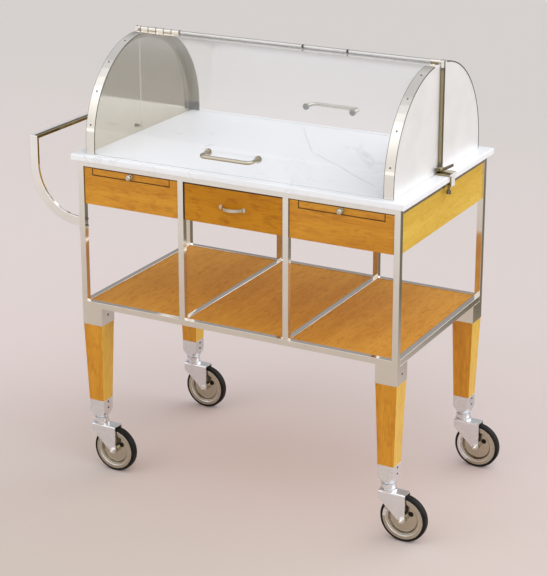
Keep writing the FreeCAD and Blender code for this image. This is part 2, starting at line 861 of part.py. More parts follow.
def front_shell(name, outer_add, thickness, xs, ridge_at):
    """A strip of the front cover's skin: the curve down from near the ridge, then the straight skirt."""
    outside = arch_bar(f"{name}_outside", f"arch_radius + {outer_add}", xs)
    inside = arch_bar(f"{name}_inside", f"arch_radius + {outer_add} - {thickness}", xs)
    ring = cut(f"{name}_ring", outside, inside)
    foot = f"-dome_half_depth - {outer_add}"
    window = span_box(f"{name}_window", xs, (foot, f"-({ridge_at})"), ("dome_base", "hinge_z"))
    skirt = span_box(f"{name}_skirt", xs, (foot, f"{foot} + {thickness}"), ("skirt_bottom", "dome_base"))
    return fuse(name, common(f"{name}_curve", ring, window), skirt)


def front_end(word, side):
    """One end of the front cover: a polished plate, a flange inside it and a band over the sheet's edge."""
    name = f"front_end_{word}"
    plate_x = limits(side, "sheet_half", "dome_half_length")
    round_part = arch_bar(f"{name}_round", "arch_radius + band_thick", plate_x)
    edge_y = ("-dome_half_depth - band_thick", "-ridge_gap")
    window = span_box(f"{name}_window", plate_x, edge_y, ("dome_base", "hinge_z"))
    band_x = limits(side, "dome_half_length - band_width", "dome_half_length")
    flange_x = limits(side, "sheet_half - flange_thick", "sheet_half")
    return [
        common(f"{name}_plate", round_part, window),
        span_box(f"{name}_plate_skirt", plate_x, edge_y, ("skirt_bottom", "dome_base")),
        front_shell(f"{name}_band", "band_thick", "band_thick", band_x, "leaf_width + band_gap"),
        front_shell(f"{name}_flange", "-sheet_thick", "flange_width", flange_x, "ridge_gap"),
    ]


def knuckles(name, side, ranges):
    """Hinge barrels on the ridge rod, each with a tab that joins it to the leaf beside it."""
    barrels, bores = [], []
    for k, (x_low, x_high) in enumerate(ranges):
        length = f"({x_high}) - ({x_low})"
        start = (x_low, "0", "hinge_z")
        barrels.append(bar(f"{name}_barrel_{k}", "knuckle_radius", length, start, "x"))
        tab_y = limits(side, "0", "leaf_relief")
        barrels.append(span_box(f"{name}_tab_{k}", (x_low, x_high), tab_y, ("crest", "crest + leaf_thick")))
        bores.append(bar(f"{name}_bore_{k}", "rod_radius + fit_gap", length, start, "x"))
    return barrels, bores


def hinge_leaf(word, side, turns):
    """A leaf screwed on the cover beside the ridge, with the barrels at its own turns along the hinge."""
    name = f"{word}_hinge_leaf"
    ranges = []
    for k in turns:
        start = f"leaf_left + {k} * knuckle_length"
        ranges.append((f"{start} + running_gap", f"{start} + knuckle_length"))
    barrels, bores = knuckles(name, side, ranges)
    plate = span_box(
        f"{name}_plate",
        ("leaf_left", "leaf_left + leaf_length"),
        limits(side, "leaf_relief", "leaf_width"),
        ("crest", "crest + leaf_thick"),
    )
    node(cut(name, fuse(f"{name}_solid", plate, *barrels), *bores), name)


def end_with_lug(name, pieces, side, lug_x):
    """The right end of a cover, with the lug that turns on the ridge rod."""
    plate = span_box(
        f"{name}_lug_plate",
        ("dome_half_length - band_width", "dome_half_length"),
        limits(side, "leaf_relief", "leaf_width + lug_lap"),
        ("crest", "crest + leaf_thick"),
    )
    barrels, bores = knuckles(f"{name}_lug", side, [lug_x])
    node(cut(name, fuse(f"{name}_solid", plate, *pieces, *barrels), *bores), name)


def grip(name):
    """A bow handle on the front cover: a bar on two bent legs, with feet hollowed to sit on the curve."""
    leg_length = "grip_height - grip_bend"
    bar_length = "grip_span - 2 * grip_bend"
    pieces = []
    for word, side in {"left": LEFT, "right": RIGHT}.items():
        foot = (f"{side} * grip_span / 2", "-grip_y - grip_foot_height", "grip_z")
        pieces.append(bar(f"{name}_{word}_foot", "grip_foot_radius", "2 * grip_foot_height", foot, "y"))
        leg = (f"{side} * grip_span / 2", "-grip_reach + grip_bend", "grip_z")
        pieces.append(bar(f"{name}_{word}_leg", "grip_rod", leg_length, leg, "y"))
        bend = DOC.addObject("Part::Torus", f"{name}_{word}_bend")
        bind(bend, Radius1="grip_bend", Radius2="grip_rod")
        bend.Angle3 = 90
        turn = Rotation(Vector(0, 0, 1), 180 if side == LEFT else 270)
        place(bend, (f"{side} * (grip_span / 2 - grip_bend)", "-grip_reach + grip_bend", "grip_z"), turn)
        pieces.append(bend)
    start = (f"-({bar_length}) / 2", "-grip_reach", "grip_z")
    pieces.append(bar(f"{name}_bar", "grip_rod", bar_length, start, "x"))
    seat = arch_bar(f"{name}_seat", "arch_radius", ("-grip_span", "grip_span"))
    return cut(name, fuse(f"{name}_solid", *pieces), seat)


def covers():
    """Both halves of the cover. The rear half mirrors the front one, apart from its hinge places."""
    sheet_x = ("-sheet_half", "sheet_half")
    across = Vector(0, 1, 0)
    sheet = node(front_shell("front_sheet", "0", "sheet_thick", sheet_x, "ridge_gap"), "front_sheet")
    node(mirrored("rear_sheet", sheet, across), "rear_sheet")

    left_end = node(fuse("front_end_left", *front_end("left", LEFT)), "front_end_left")
    node(mirrored("rear_end_left", left_end, across), "rear_end_left")

    lugs = {
        "front": ("lug_right - 2 * lug_length", "lug_right - lug_length - running_gap"),
        "rear": ("lug_right - lug_length", "lug_right"),
    }
    right_end = fuse("right_end_shape", *front_end("right", RIGHT))
    end_with_lug("front_end_right", [right_end], FRONT, lugs["front"])
    end_with_lug("rear_end_right", [mirrored("right_end_mirror", right_end, across)], REAR, lugs["rear"])

    handle = node(grip("front_grip"), "front_grip")
    node(mirrored("rear_grip", handle, across), "rear_grip")

    hinge_leaf("front", FRONT, (0, 2, 4))
    hinge_leaf("rear", REAR, (1, 3))


def check():
    """Stops the build if any object of the document failed or a node isn't one valid solid."""
    for thing in DOC.Objects:
        if "Invalid" in thing.State or "Error" in thing.State:
            raise RuntimeError(f"{thing.Name} did not build: {thing.State}")
    for name, thing in NODES:
        if thing.Shape.isNull() or not thing.Shape.isValid() or len(thing.Shape.Solids) != 1:
            raise RuntimeError(f"{name} is not one valid solid: {len(thing.Shape.Solids)}")


def export():
    """Writes each node, moved so that the origin lies under the middle of the whole cart."""
    os.makedirs("parts", exist_ok=True)
    shift = Vector(DOC.dims.cart_shift, 0, 0)
    for name, thing in NODES:
        shape = thing.Shape.copy()
        shape.translate(shift)
        shape.exportStep(f"parts/{name}.step")


make_sheet()
frame()
marble_top()
shelves()
panels()
partitions()
drawer()
boards()
legs()
casters()
push_handle()
uprights()
covers()
DOC.recompute()
check()
export()
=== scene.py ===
"""Dresses the cheese cart: softened metal and wood, screws and rivets, finishes, light and camera.

Metres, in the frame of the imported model: X along the cart, -Y the drawer side, Z up from the floor.
"""

import json
import math

import bpy
from mathutils import Matrix, Vector

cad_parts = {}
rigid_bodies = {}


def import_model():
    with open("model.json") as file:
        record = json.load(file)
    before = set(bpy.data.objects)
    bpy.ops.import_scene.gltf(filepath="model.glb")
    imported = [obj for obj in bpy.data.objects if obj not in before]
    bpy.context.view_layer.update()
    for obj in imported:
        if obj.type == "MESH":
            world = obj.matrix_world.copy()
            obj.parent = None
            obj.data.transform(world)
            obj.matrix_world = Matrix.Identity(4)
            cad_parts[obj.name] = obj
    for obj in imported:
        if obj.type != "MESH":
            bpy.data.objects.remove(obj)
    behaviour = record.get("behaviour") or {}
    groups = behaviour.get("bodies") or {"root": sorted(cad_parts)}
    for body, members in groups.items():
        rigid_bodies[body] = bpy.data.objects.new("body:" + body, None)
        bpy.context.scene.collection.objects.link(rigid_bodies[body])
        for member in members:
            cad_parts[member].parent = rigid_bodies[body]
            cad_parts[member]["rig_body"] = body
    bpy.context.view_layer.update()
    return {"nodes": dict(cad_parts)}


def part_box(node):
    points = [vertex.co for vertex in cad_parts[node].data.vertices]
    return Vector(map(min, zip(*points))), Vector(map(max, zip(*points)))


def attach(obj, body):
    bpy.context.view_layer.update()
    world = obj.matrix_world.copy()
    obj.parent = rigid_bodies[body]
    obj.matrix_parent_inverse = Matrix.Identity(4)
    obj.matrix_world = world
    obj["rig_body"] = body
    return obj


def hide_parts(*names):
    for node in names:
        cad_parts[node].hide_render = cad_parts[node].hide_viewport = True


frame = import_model()

MM = 0.001
ALONG = Vector((1, 0, 0))
UP = Vector((0, 0, 1))
CORNERS = ("front_left", "front_right", "rear_left", "rear_right")
SIDES = ("left", "right")
HALVES = ("front", "rear")
SIDE_SIGN = {"left": -1, "right": 1}
HALF_SIGN = {"front": -1, "rear": 1}

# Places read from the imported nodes
MARBLE_LOW, MARBLE_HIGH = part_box("marble_top")
SHEET_LOW, SHEET_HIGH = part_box("front_sheet")
FRAME_LOW, FRAME_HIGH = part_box("front_frame")
HANDLE_LOW, HANDLE_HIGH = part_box("push_handle")
ROD_LOW, ROD_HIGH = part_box("ridge_rod")
CART_X = (FRAME_LOW.x + FRAME_HIGH.x) / 2
ROD_Z = (ROD_LOW.z + ROD_HIGH.z) / 2

# The frame, the legs and the push handle
TUBE = 16 * MM
SOCKET_HEIGHT = 50 * MM
SOCKET_WIDTH = 60 * MM
FERRULE_SCREWS = (8 * MM, 25 * MM)
HANDLE_BAR = 25 * MM
# Painted highlight: how far along the cart the pale top of the bar across reaches
CROSSBAR_HIGHLIGHT = 13 * MM
HANDLE_BOLT_Z = HANDLE_LOW.z + 26 * MM
HANDLE_BOLT_STEP = 9 * MM
HANDLE_NUT = 3.8 * MM

# The casters
AXLE_HEAD = 4 * MM
AXLE_NUT = 7.8 * MM
GROOVE_FROM = 36.2 * MM
RIM_FROM = 41.2 * MM
PLUG_X = 19 * MM
PLUG_Z = 14 * MM

# The cover, with its angles in degrees up from its foot
COVER_SKIRT = 24 * MM
BAND_WIDTH = 25 * MM
BAND_THICK = 1.5 * MM
ARCH_BASE = MARBLE_HIGH.z + COVER_SKIRT
ARCH_RADIUS = SHEET_HIGH.z - ARCH_BASE
ARCH_BACK = -SHEET_LOW.y - ARCH_RADIUS
FLANGE_FACE = 3.5 * MM
FLANGE_MIDDLE = 13 * MM
FLANGE_NEAR = 0.2 * MM
RIVET_ANGLES = (12, 32, 52, 72)
FLANGE_RIVET_BACK = 6
KNUCKLES = 5
LEAF_SCREW_LINE = 19 * MM
LEAF_SCREW_SHARES = (0.12, 0.5, 0.88)
COLLAR_PLACES = (56 * MM, 183 * MM)
GRIP_FOOT = 4.5 * MM
GRIP_PAD = 0.8 * MM
PEG_BACK = 20 * MM
PEG_HEIGHT = 18 * MM

# The uprights, their clamps and the ears of the wing nuts
UPRIGHT_MIDDLE = 4 * MM
UPRIGHT_HEAD = 19 * MM
UPRIGHT_NECK = 7 * MM
UPRIGHT_ANKLE = 24 * MM
CLAMP_PLATE = 5 * MM
CLAMP_DROP = 12.5 * MM
CHEEK_PAST = 0.5 * MM
EAR_LENGTH = 28 * MM
EAR_THICK = 5 * MM
EAR_HEIGHT = 8 * MM
EAR_ROOT = 7 * MM
EAR_RISE = 0.35
EAR_TAPER = 0.4
EAR_TURNS = (-0.8, -math.pi)

# Heads of the small fasteners, as radius and height
BAND_RIVET = (2.6 * MM, 1.3 * MM)
COVER_SCREW = (3.0 * MM, 1.4 * MM)
LEG_SCREW = (3.4 * MM, 1.6 * MM)

# How far the slots and nuts are turned, in radians
FOOT_SCREW_TURN = 0.6
LUG_SCREW_TURN = 0.4
SOCKET_SCREW_TURN = 0.9
FERRULE_SCREW_TURN = 0.5
HANDLE_NUT_TURN = 0.3
AXLE_NUT_TURN = 0.2

# How far the edges of the dressed pieces are rounded
TUBE_EDGE = 1.4 * MM
HANDLE_EDGE = 3.2 * MM
SHELF_EDGE = 0.8 * MM
PANEL_EDGE = 0.6 * MM
FERRULE_EDGE = 2.0 * MM
PULL_EDGE = 1.1 * MM
KNOB_EDGE = 1.4 * MM
SHEET_EDGE = 0.5 * MM
GRIP_EDGE = 0.6 * MM
LEAF_EDGE = 1.2 * MM
END_EDGE = 0.4 * MM
UPRIGHT_EDGE = 1.2 * MM
FORK_EDGE = 0.8 * MM
DISC_EDGE = 0.7 * MM
TYRE_EDGE = 2.0 * MM
STRIP_EDGE = 0.1 * MM

# What counts as one point, one plane, an edge to round and a curve to smooth
MERGE_NEAR = 0.002 * MM
SPIN_MERGE_NEAR = 0.005 * MM
PLANE_ANGLE = math.radians(0.5)
EDGE_ANGLE = math.radians(32)
CURVE_ANGLE = math.radians(38)

# Outlines of turned fittings in millimetres, as (radius, height)
BALL_OUTLINE = [(0, 0), (6, 0), (8, 1.5), (9, 4), (9, 7), (8, 10), (7, 12), (0, 12)]
COLLAR_OUTLINE = [(3.0, -2.5), (4.3, -2.5), (4.8, -2), (4.8, 2), (4.3, 2.5), (3.0, 2.5), (3.0, -2.5)]
PEG_OUTLINE = [(0, 0), (5.5, 0), (5.5, 1), (2.6, 2), (2.6, 4), (5.0, 5), (5.8, 7), (4.4, 9.4), (0, 10)]
WASHER_OUTLINE = [(3.0, -1.6), (5.2, -1.6), (5.7, -1.1), (5.7, 1.1), (5.2, 1.6), (3.0, 1.6), (3.0, -1.6)]
PLUG_OUTLINE = [(0, -2.2), (6.0, -2.2), (7.0, -1.5), (7.0, 1.5), (6.0, 2.2), (4.6, 2.0), (4.2, 1.2), (0, 1.2)]
# Painted shade: the outline of the dark ring behind each knob
SHADE_RING_OUTLINE = [(4.0, 0), (8.4, 0), (8.4, 0.5), (7.6, 1.1), (4.0, 1.1), (4.0, 0)]

# The painted shadow lines of the front, dark strips for the shade in its gaps and under its rails, the seals
# along the bands and the meeting strips
SLOT_GAP = 1 * MM
SLOT_SHADOW = 1.6 * MM
SLOT_SHADOW_PROUD = 0.3 * MM
PROUD = 0.25 * MM
LET_IN = 0.5 * MM
FASCIA_TOP_SHADOW = 3.0 * MM
FASCIA_SIDE_SHADOW = 1.2 * MM
BOARD_TOP_SHADOW = 1.6 * MM
DRAWER_TOP_SHADOW = 3.8 * MM
DRAWER_SIDE_SHADOW = 2.4 * MM
SEAL = 1.2 * MM
OUTER_SEAL = 0.5 * MM
SEAL_LIFT = 1.0 * MM
SEAL_SWEEP = math.radians(84)
STRIP_THICK = 1.0 * MM
STRIP_FROM = 4.2 * MM
STRIP_TO = 1.2 * MM
STRIP_LIFT = 4 * MM
STRIP_DROP = 24 * MM

# The camera of the photograph
CAMERA_PLACE = Vector((2.1205, -3.9214, 2.1288))
CAMERA_DOWN = 0.2988
CAMERA_TURN = 0.4938
CAMERA_LENS = 110.28
CAMERA_SENSOR = 36.0
CAMERA_SHIFT = -0.1528

# The ends of the long vein in the marble, and where the tail behind it starts
VEIN_START = Vector((0.11, 0.024, 0))
VEIN_END = Vector((0.40, -0.187, 0))
VEIN_TAIL = Vector((-0.03, 0.245, 0))

# The lamps: the way to each, its level and its spread in degrees
KEY_WAY = (0.74, -0.24, 0.63)
KEY_LEVEL = 0.40
KEY_SPREAD = 80
RIM_WAY = (0.50, 0.78, 0.38)
RIM_LEVEL = 0.32
RIM_SPREAD = 60

# The fill lamp is a stack of discs, so that its edge is soft where metal and the cover mirror it
FILL_WAY = (-0.20, -0.93, 0.30)
FILL_LEVEL = 0.44
FILL_SPREADS = (80, 100, 120, 140)

# The room's tones low down and high up, its dark end with the way to it, and the horizon that metal mirrors
ROOM_LOW = (0.63, 0.60, 0.58)
ROOM_HIGH = (0.65, 0.66, 0.69)
ROOM_RISE = (0.0, 0.5)
DARK_END = (0.45, -0.86, 0.24)
DARK_END_TONE = (0.13, 0.115, 0.08)
DARK_END_SHARE = 0.8
DARK_END_REACH = (0.55, 0.9)
HORIZON_TONE = (0.06, 0.05, 0.03)
HORIZON_SHARE = 0.75
HORIZON_RISE = (0.02, 0.05)
HORIZON_FADE = (0.20, 0.64)

# The floor's tones from the front to the back, painted light for how the light falls across the floor, and
# the depths over which each gives way to the next
FLOOR_SIZE = 80
APRON_TONE = (0.63, 0.59, 0.56)
# Painted reflection: the lighter apron that only metal mirrors before the cart
APRON_PAINTED_REFLECTION = (0.78, 0.76, 0.745)
FRONT_TONE = (0.60, 0.53, 0.47)
MIDDLE_TONE = (0.685, 0.595, 0.575)
FAR_TONE = (0.59, 0.555, 0.53)
APRON_TO_FRONT = (-2.9, -1.5)
FRONT_TO_MIDDLE = (-1.0, 0.2)
MIDDLE_TO_FAR = (0.2, 4.0)

# Painted reflection: the darker floor tone that only metal mirrors behind the cart, where it sets in and
# where it thins
PAINTED_DARK_REFLECTION = (0.15, 0.13, 0.085)
MIRRORED_SETS_IN = (0.4, 1.4)
MIRRORED_THINS = (2.7, 3.4)
MIRRORED_SHARE = 0.96
MIRRORED_FAR_SHARE = 0.84


def middle_of(node):
    """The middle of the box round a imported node."""
    low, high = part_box(node)
    return (low + high) / 2


def body_of(node):
    """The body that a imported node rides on."""
    return frame["nodes"][node]["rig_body"]


def only(piece):
    """Selects one piece alone and makes it the active one."""
    bpy.ops.object.select_all(action="DESELECT")
    bpy.context.view_layer.objects.active = piece
    piece.select_set(True)


def finish_modifier(piece, kind, **settings):
    """Adds a modifier with its settings and applies it."""
    only(piece)
    modifier = piece.modifiers.new(kind.lower(), kind)
    for name, value in settings.items():
        setattr(modifier, name, value)
    bpy.ops.object.modifier_apply(modifier=modifier.name)


def copy_of(node):
    """A new piece with a merged copy of a CAD node's mesh, without the closed hollows inside it."""
    piece = bpy.data.objects.new(f"{node}_dressed", frame["nodes"][node].data.copy())
    bpy.context.scene.collection.objects.link(piece)
    piece.data.materials.clear()
    only(piece)
    bpy.ops.object.mode_set(mode="EDIT")
    bpy.ops.mesh.select_all(action="SELECT")
    bpy.ops.mesh.remove_doubles(threshold=MERGE_NEAR)
    bpy.ops.mesh.dissolve_limited(angle_limit=PLANE_ANGLE)
    bpy.ops.mesh.select_all(action="DESELECT")
    bpy.ops.object.mode_set(mode="OBJECT")
    outermost = max(piece.data.vertices, key=lambda vertex: vertex.co.x + vertex.co.z)
    outermost.select = True
    bpy.ops.object.mode_set(mode="EDIT")
    bpy.ops.mesh.select_linked()
    bpy.ops.mesh.select_all(action="INVERT")
    bpy.ops.mesh.delete(type="VERT")
    bpy.ops.object.mode_set(mode="OBJECT")
    return piece


def cut_across(piece, axis, place):
    """Divides the faces of a piece square to an axis, so that they can take different finishes."""
    only(piece)
    bpy.ops.object.mode_set(mode="EDIT")
    bpy.ops.mesh.select_all(action="SELECT")
    bpy.ops.mesh.bisect(plane_co=place * axis, plane_no=axis)
    bpy.ops.object.mode_set(mode="OBJECT")


def dressed(node, edge, material, segments=2, cuts=()):
    """A copy of a CAD node with its edges rounded and its curves smooth, which stands for the node."""
    piece = copy_of(node)
    for axis, place in cuts:
        cut_across(piece, axis, place)
    if edge:
        finish_modifier(
            piece,
            "BEVEL",
            width=edge,
            segments=segments,
            limit_method="ANGLE",
            angle_limit=EDGE_ANGLE,
            use_clamp_overlap=True,
        )
    only(piece)
    bpy.ops.object.shade_smooth_by_angle(angle=CURVE_ANGLE)
    finish_modifier(piece, "WEIGHTED_NORMAL", keep_sharp=True, weight=80)
    piece.data.materials.append(material)
    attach(piece, body_of(node))
    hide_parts(node)
    return piece


# Shader building


class Tree:
    """A node tree that is filled by short calls."""

    def __init__(self, tree):
        self.tree = tree

    def add(self, kind, **settings):
        node = self.tree.nodes.new(kind)
        for name, value in settings.items():
            setattr(node, name, value)
        return node

    def put(self, node, **inputs):
        """Sets or links a node's inputs by their names, with underscores for spaces."""
        for name, value in inputs.items():
            socket = node.inputs[name.replace("_", " ")]
            self.feed(socket, value)
        return node

    def feed(self, socket, value):
        if isinstance(value, bpy.types.NodeSocket):
            self.tree.links.new(value, socket)
        else:
            socket.default_value = value

    def noise(self, vector, scale, detail=3.0, roughness=0.55, distortion=0.0):
        node = self.add("ShaderNodeTexNoise")
        self.put(node, Vector=vector, Scale=scale, Detail=detail, Roughness=roughness, Distortion=distortion)
        return node.outputs["Fac"]

    def ramp(self, value, low, high, to_low=0.0, to_high=1.0):
        """A value mapped from one range to another, without going past its ends."""
        node = self.add("ShaderNodeMapRange", clamp=True)
        self.put(node, Value=value, From_Min=low, From_Max=high, To_Min=to_low, To_Max=to_high)
        return node.outputs["Result"]

    def math(self, operation, first, second=0.0):
        node = self.add("ShaderNodeMath", operation=operation)
        self.feed(node.inputs[0], first)
        self.feed(node.inputs[1], second)
        return node.outputs[0]

    def mix(self, share, first, second, blend="MIX"):
        node = self.add("ShaderNodeMix", data_type="RGBA", blend_type=blend)
        self.feed(node.inputs[0], share)
        self.feed(node.inputs[6], first)
        self.feed(node.inputs[7], second)
        return node.outputs[2]

    def stretched(self, vector, scale):
        node = self.add("ShaderNodeMapping")
        self.put(node, Vector=vector, Scale=scale)
        return node.outputs["Vector"]


def rgb(red, green, blue):
    return (red, green, blue, 1.0)


def new_group(name, inputs, outputs):
    """A shader group with its sockets, and the tree, the input sockets and the output node to fill it."""
    group = bpy.data.node_groups.new(name, "ShaderNodeTree")
    kinds = {"vector": "NodeSocketVector", "colour": "NodeSocketColor", "value": "NodeSocketFloat"}
    for label, kind in inputs.items():
        group.interface.new_socket(label, in_out="INPUT", socket_type=kinds[kind])
    for label, kind in outputs.items():
        group.interface.new_socket(label, in_out="OUTPUT", socket_type=kinds[kind])
    tree = Tree(group)
    given = tree.add("NodeGroupInput").outputs
    wanted = tree.add("NodeGroupOutput")
    return group, tree, given, wanted


def new_material(name):
    """A material with its Principled shader, its tree and its Object coordinates."""
    material = bpy.data.materials.new(name)
    material.use_nodes = True
    tree = Tree(material.node_tree)
    shader = material.node_tree.nodes["Principled BSDF"]
    place = tree.add("ShaderNodeTexCoord").outputs["Object"]
    return material, tree, shader, place


def use_group(tree, group, **inputs):
    node = tree.add("ShaderNodeGroup", node_tree=group)
    tree.put(node, **inputs)
    return node.outputs


def bump(tree, shader, height, strength, distance):
    node = tree.add("ShaderNodeBump")
    tree.put(node, Height=height, Strength=strength, Distance=distance)
    tree.feed(shader.inputs["Normal"], node.outputs["Normal"])


def handled_metal_group():
    """The faint unevenness of polished plate: clouded gloss, hair scratches and a slow wave."""
    group, tree, given, wanted = new_group(
        "handled_metal",
        {"Vector": "vector", "Gloss": "value", "Haze": "value"},
        {"Roughness": "value", "Tone": "value", "Height": "value"},
    )
    clouds = tree.noise(given["Vector"], 14.0, 4.0)
    hairs = tree.noise(tree.stretched(given["Vector"], (30.0, 900.0, 900.0)), 1.0, 2.0)
    marks = tree.math("MULTIPLY", tree.ramp(clouds, 0.35, 0.75), tree.ramp(hairs, 0.5, 0.8, 0.4, 1.0))
    rough = tree.math("ADD", tree.math("MULTIPLY", marks, given["Haze"]), given["Gloss"])
    tree.feed(wanted.inputs["Roughness"], rough)
    tree.feed(wanted.inputs["Tone"], tree.ramp(clouds, 0.3, 0.7, 0.94, 1.0))
    tree.feed(wanted.inputs["Height"], tree.noise(given["Vector"], 22.0, 1.0))
    return group


def wood_figure_group():
    """Lacquered wood: broad bands, fine fibres along the grain and short darker flecks across it."""
    group, tree, given, wanted = new_group(
        "wood_figure",
        {
            "Fibre": "vector",
            "Place": "vector",
            "Light": "colour",
            "Dark": "colour",
            "Fleck": "colour",
            "Figure": "value",
            "Gloss": "value",
        },
        {"Color": "colour", "Roughness": "value", "Height": "value"},
    )
    bands = tree.noise(given["Fibre"], 22.0, 3.0, 0.5, 0.6)
    fibres = tree.noise(given["Fibre"], 330.0, 4.0, 0.65)
    clouds = tree.noise(given["Place"], 7.0, 2.0)
    flecks = tree.noise(given["Place"], 95.0, 3.0, 0.6, 0.5)
    grain = tree.math("ADD", tree.math("MULTIPLY", bands, 0.35), tree.math("MULTIPLY", fibres, 0.4))
    shade = tree.math("ADD", grain, tree.math("MULTIPLY", clouds, 0.25))
    ground = tree.mix(tree.ramp(shade, 0.41, 0.59), given["Dark"], given["Light"])
    share = tree.math("MULTIPLY", tree.ramp(flecks, 0.5, 0.7), given["Figure"])
    tree.feed(wanted.inputs["Color"], tree.mix(share, ground, given["Fleck"]))
    worn = tree.math("MULTIPLY", tree.ramp(clouds, 0.35, 0.7), 0.12)
    tree.feed(wanted.inputs["Roughness"], tree.math("ADD", worn, given["Gloss"]))
    tree.feed(wanted.inputs["Height"], fibres)
    return group


METAL = handled_metal_group()
WOOD = wood_figure_group()


def metal(name, colour, gloss, haze, wave=0.02, metallic=1.0):
    material, tree, shader, place = new_material(name)
    plate = use_group(tree, METAL, Vector=place, Gloss=gloss, Haze=haze)
    tree.feed(shader.inputs["Base Color"], tree.mix(plate["Tone"], rgb(0, 0, 0), rgb(*colour)))
    tree.feed(shader.inputs["Roughness"], plate["Roughness"])
    shader.inputs["Metallic"].default_value = metallic
    bump(tree, shader, plate["Height"], wave, 2 * MM)
    return material


def wood(name, grain, light, dark, fleck, figure, gloss=0.3, coat=0.35):
    """Lacquered wood whose grain runs along one axis."""
    material, tree, shader, place = new_material(name)
    fibre = {"x": (0.06, 1.0, 1.0), "y": (1.0, 0.06, 1.0), "z": (1.0, 1.0, 0.06)}[grain]
    short = {"x": (0.35, 1.0, 1.0), "y": (1.0, 0.35, 1.0), "z": (1.0, 1.0, 0.35)}[grain]
    figured = use_group(
        tree,
        WOOD,
        Fibre=tree.stretched(place, fibre),
        Place=tree.stretched(place, short),
        Light=rgb(*light),
        Dark=rgb(*dark),
        Fleck=rgb(*fleck),
        Figure=figure,
        Gloss=gloss,
    )
    tree.feed(shader.inputs["Base Color"], figured["Color"])
    tree.feed(shader.inputs["Roughness"], figured["Roughness"])
    shader.inputs["Specular IOR Level"].default_value = 0.2
    shader.inputs["Coat Weight"].default_value = coat
    shader.inputs["Coat Roughness"].default_value = 0.1
    bump(tree, shader, figured["Height"], 0.08, 0.3 * MM)
    return material


def along(tree, place, direction, start):
    """How far a point lies past a start along a direction."""
    node = tree.add("ShaderNodeVectorMath", operation="DOT_PRODUCT")
    tree.feed(node.inputs[0], place)
    tree.feed(node.inputs[1], direction)
    return tree.math("SUBTRACT", node.outputs["Value"], direction.dot(start))


def long_vein(tree, place, start, end, strength):
    """The share of one long vein, which wanders a little between its ends."""
    run = end - start
    heading = run.normalized()
    aside = Vector((-heading.y, heading.x, 0))
    wander = tree.math("MULTIPLY", tree.math("SUBTRACT", tree.noise(place, 9.0, 3.0), 0.5), 0.02)
    off = tree.math("ABSOLUTE", tree.math("ADD", along(tree, place, aside, start), wander))
    reach = along(tree, place, heading, start)
    fading = tree.ramp(reach, 0.9 * run.length, run.length, 1.0, 0.0)
    inside = tree.math("MULTIPLY", tree.ramp(reach, 0.0, 0.03), fading)
    return tree.math("MULTIPLY", tree.ramp(off, 0.0006, 0.0030, strength, 0.0), inside)


def marble():
    """White marble with soft clouds and a few thin grey veins."""
    material, tree, shader, place = new_material("white_marble")
    clouds = tree.noise(place, 3.2, 5.0, 0.6, 0.5)
    drift = tree.noise(place, 1.7, 6.0, 0.55, 1.3)
    vein = tree.math("ABSOLUTE", tree.math("SUBTRACT", drift, 0.5))
    thin = tree.ramp(vein, 0.0, 0.012, 1.0, 0.0)
    broken = tree.math("MULTIPLY", thin, tree.ramp(clouds, 0.45, 0.62))
    ground = tree.mix(tree.ramp(clouds, 0.35, 0.65), rgb(0.87, 0.885, 0.92), rgb(0.895, 0.91, 0.94))
    main = long_vein(tree, place, VEIN_START, VEIN_END, 0.58)
    tail = long_vein(tree, place, VEIN_TAIL, VEIN_START, 0.42)
    share = tree.math("MAXIMUM", tree.math("MULTIPLY", broken, 0.36), tree.math("MAXIMUM", main, tail))
    veined = tree.mix(share, ground, rgb(0.47, 0.46, 0.45))
    tree.feed(shader.inputs["Base Color"], veined)
    tree.feed(shader.inputs["Roughness"], tree.ramp(clouds, 0.3, 0.7, 0.26, 0.38))
    shader.inputs["Specular IOR Level"].default_value = 0.2
    bump(tree, shader, clouds, 0.02, 1 * MM)
    return material


def clear_sheet():
    """Clear acrylic that lets the lamps through to the marble."""
    material, tree, shader, place = new_material("clear_acrylic")
    haze = tree.noise(place, 6.0, 4.0)
    tree.feed(shader.inputs["Roughness"], tree.ramp(haze, 0.3, 0.7, 0.005, 0.03))
    shader.inputs["Base Color"].default_value = rgb(0.995, 0.995, 0.995)
    shader.inputs["Transmission Weight"].default_value = 0.96
    shader.inputs["IOR"].default_value = 1.49
    path = tree.add("ShaderNodeLightPath").outputs
    through = tree.add("ShaderNodeBsdfTransparent")
    either = tree.add("ShaderNodeMixShader")
    tree.feed(either.inputs[0], tree.math("MAXIMUM", path["Is Shadow Ray"], path["Is Diffuse Ray"]))
    tree.feed(either.inputs[1], shader.outputs["BSDF"])
    tree.feed(either.inputs[2], through.outputs["BSDF"])
    output = material.node_tree.nodes["Material Output"]
    tree.feed(output.inputs["Surface"], either.outputs["Shader"])
    return material


def rubber(name, clean, dusty):
    """Black rubber, dusty in patches."""
    material, tree, shader, place = new_material(name)
    grime = tree.noise(place, 45.0, 5.0, 0.65)
    grain = tree.noise(place, 700.0, 2.0)
    tone = tree.mix(tree.ramp(grime, 0.4, 0.7), rgb(*clean), rgb(*dusty))
    tree.feed(shader.inputs["Base Color"], tone)
    tree.feed(shader.inputs["Roughness"], tree.ramp(grime, 0.3, 0.7, 0.42, 0.62))
    shader.inputs["Specular IOR Level"].default_value = 0.15
    bump(tree, shader, grain, 0.15, 0.2 * MM)
    return material


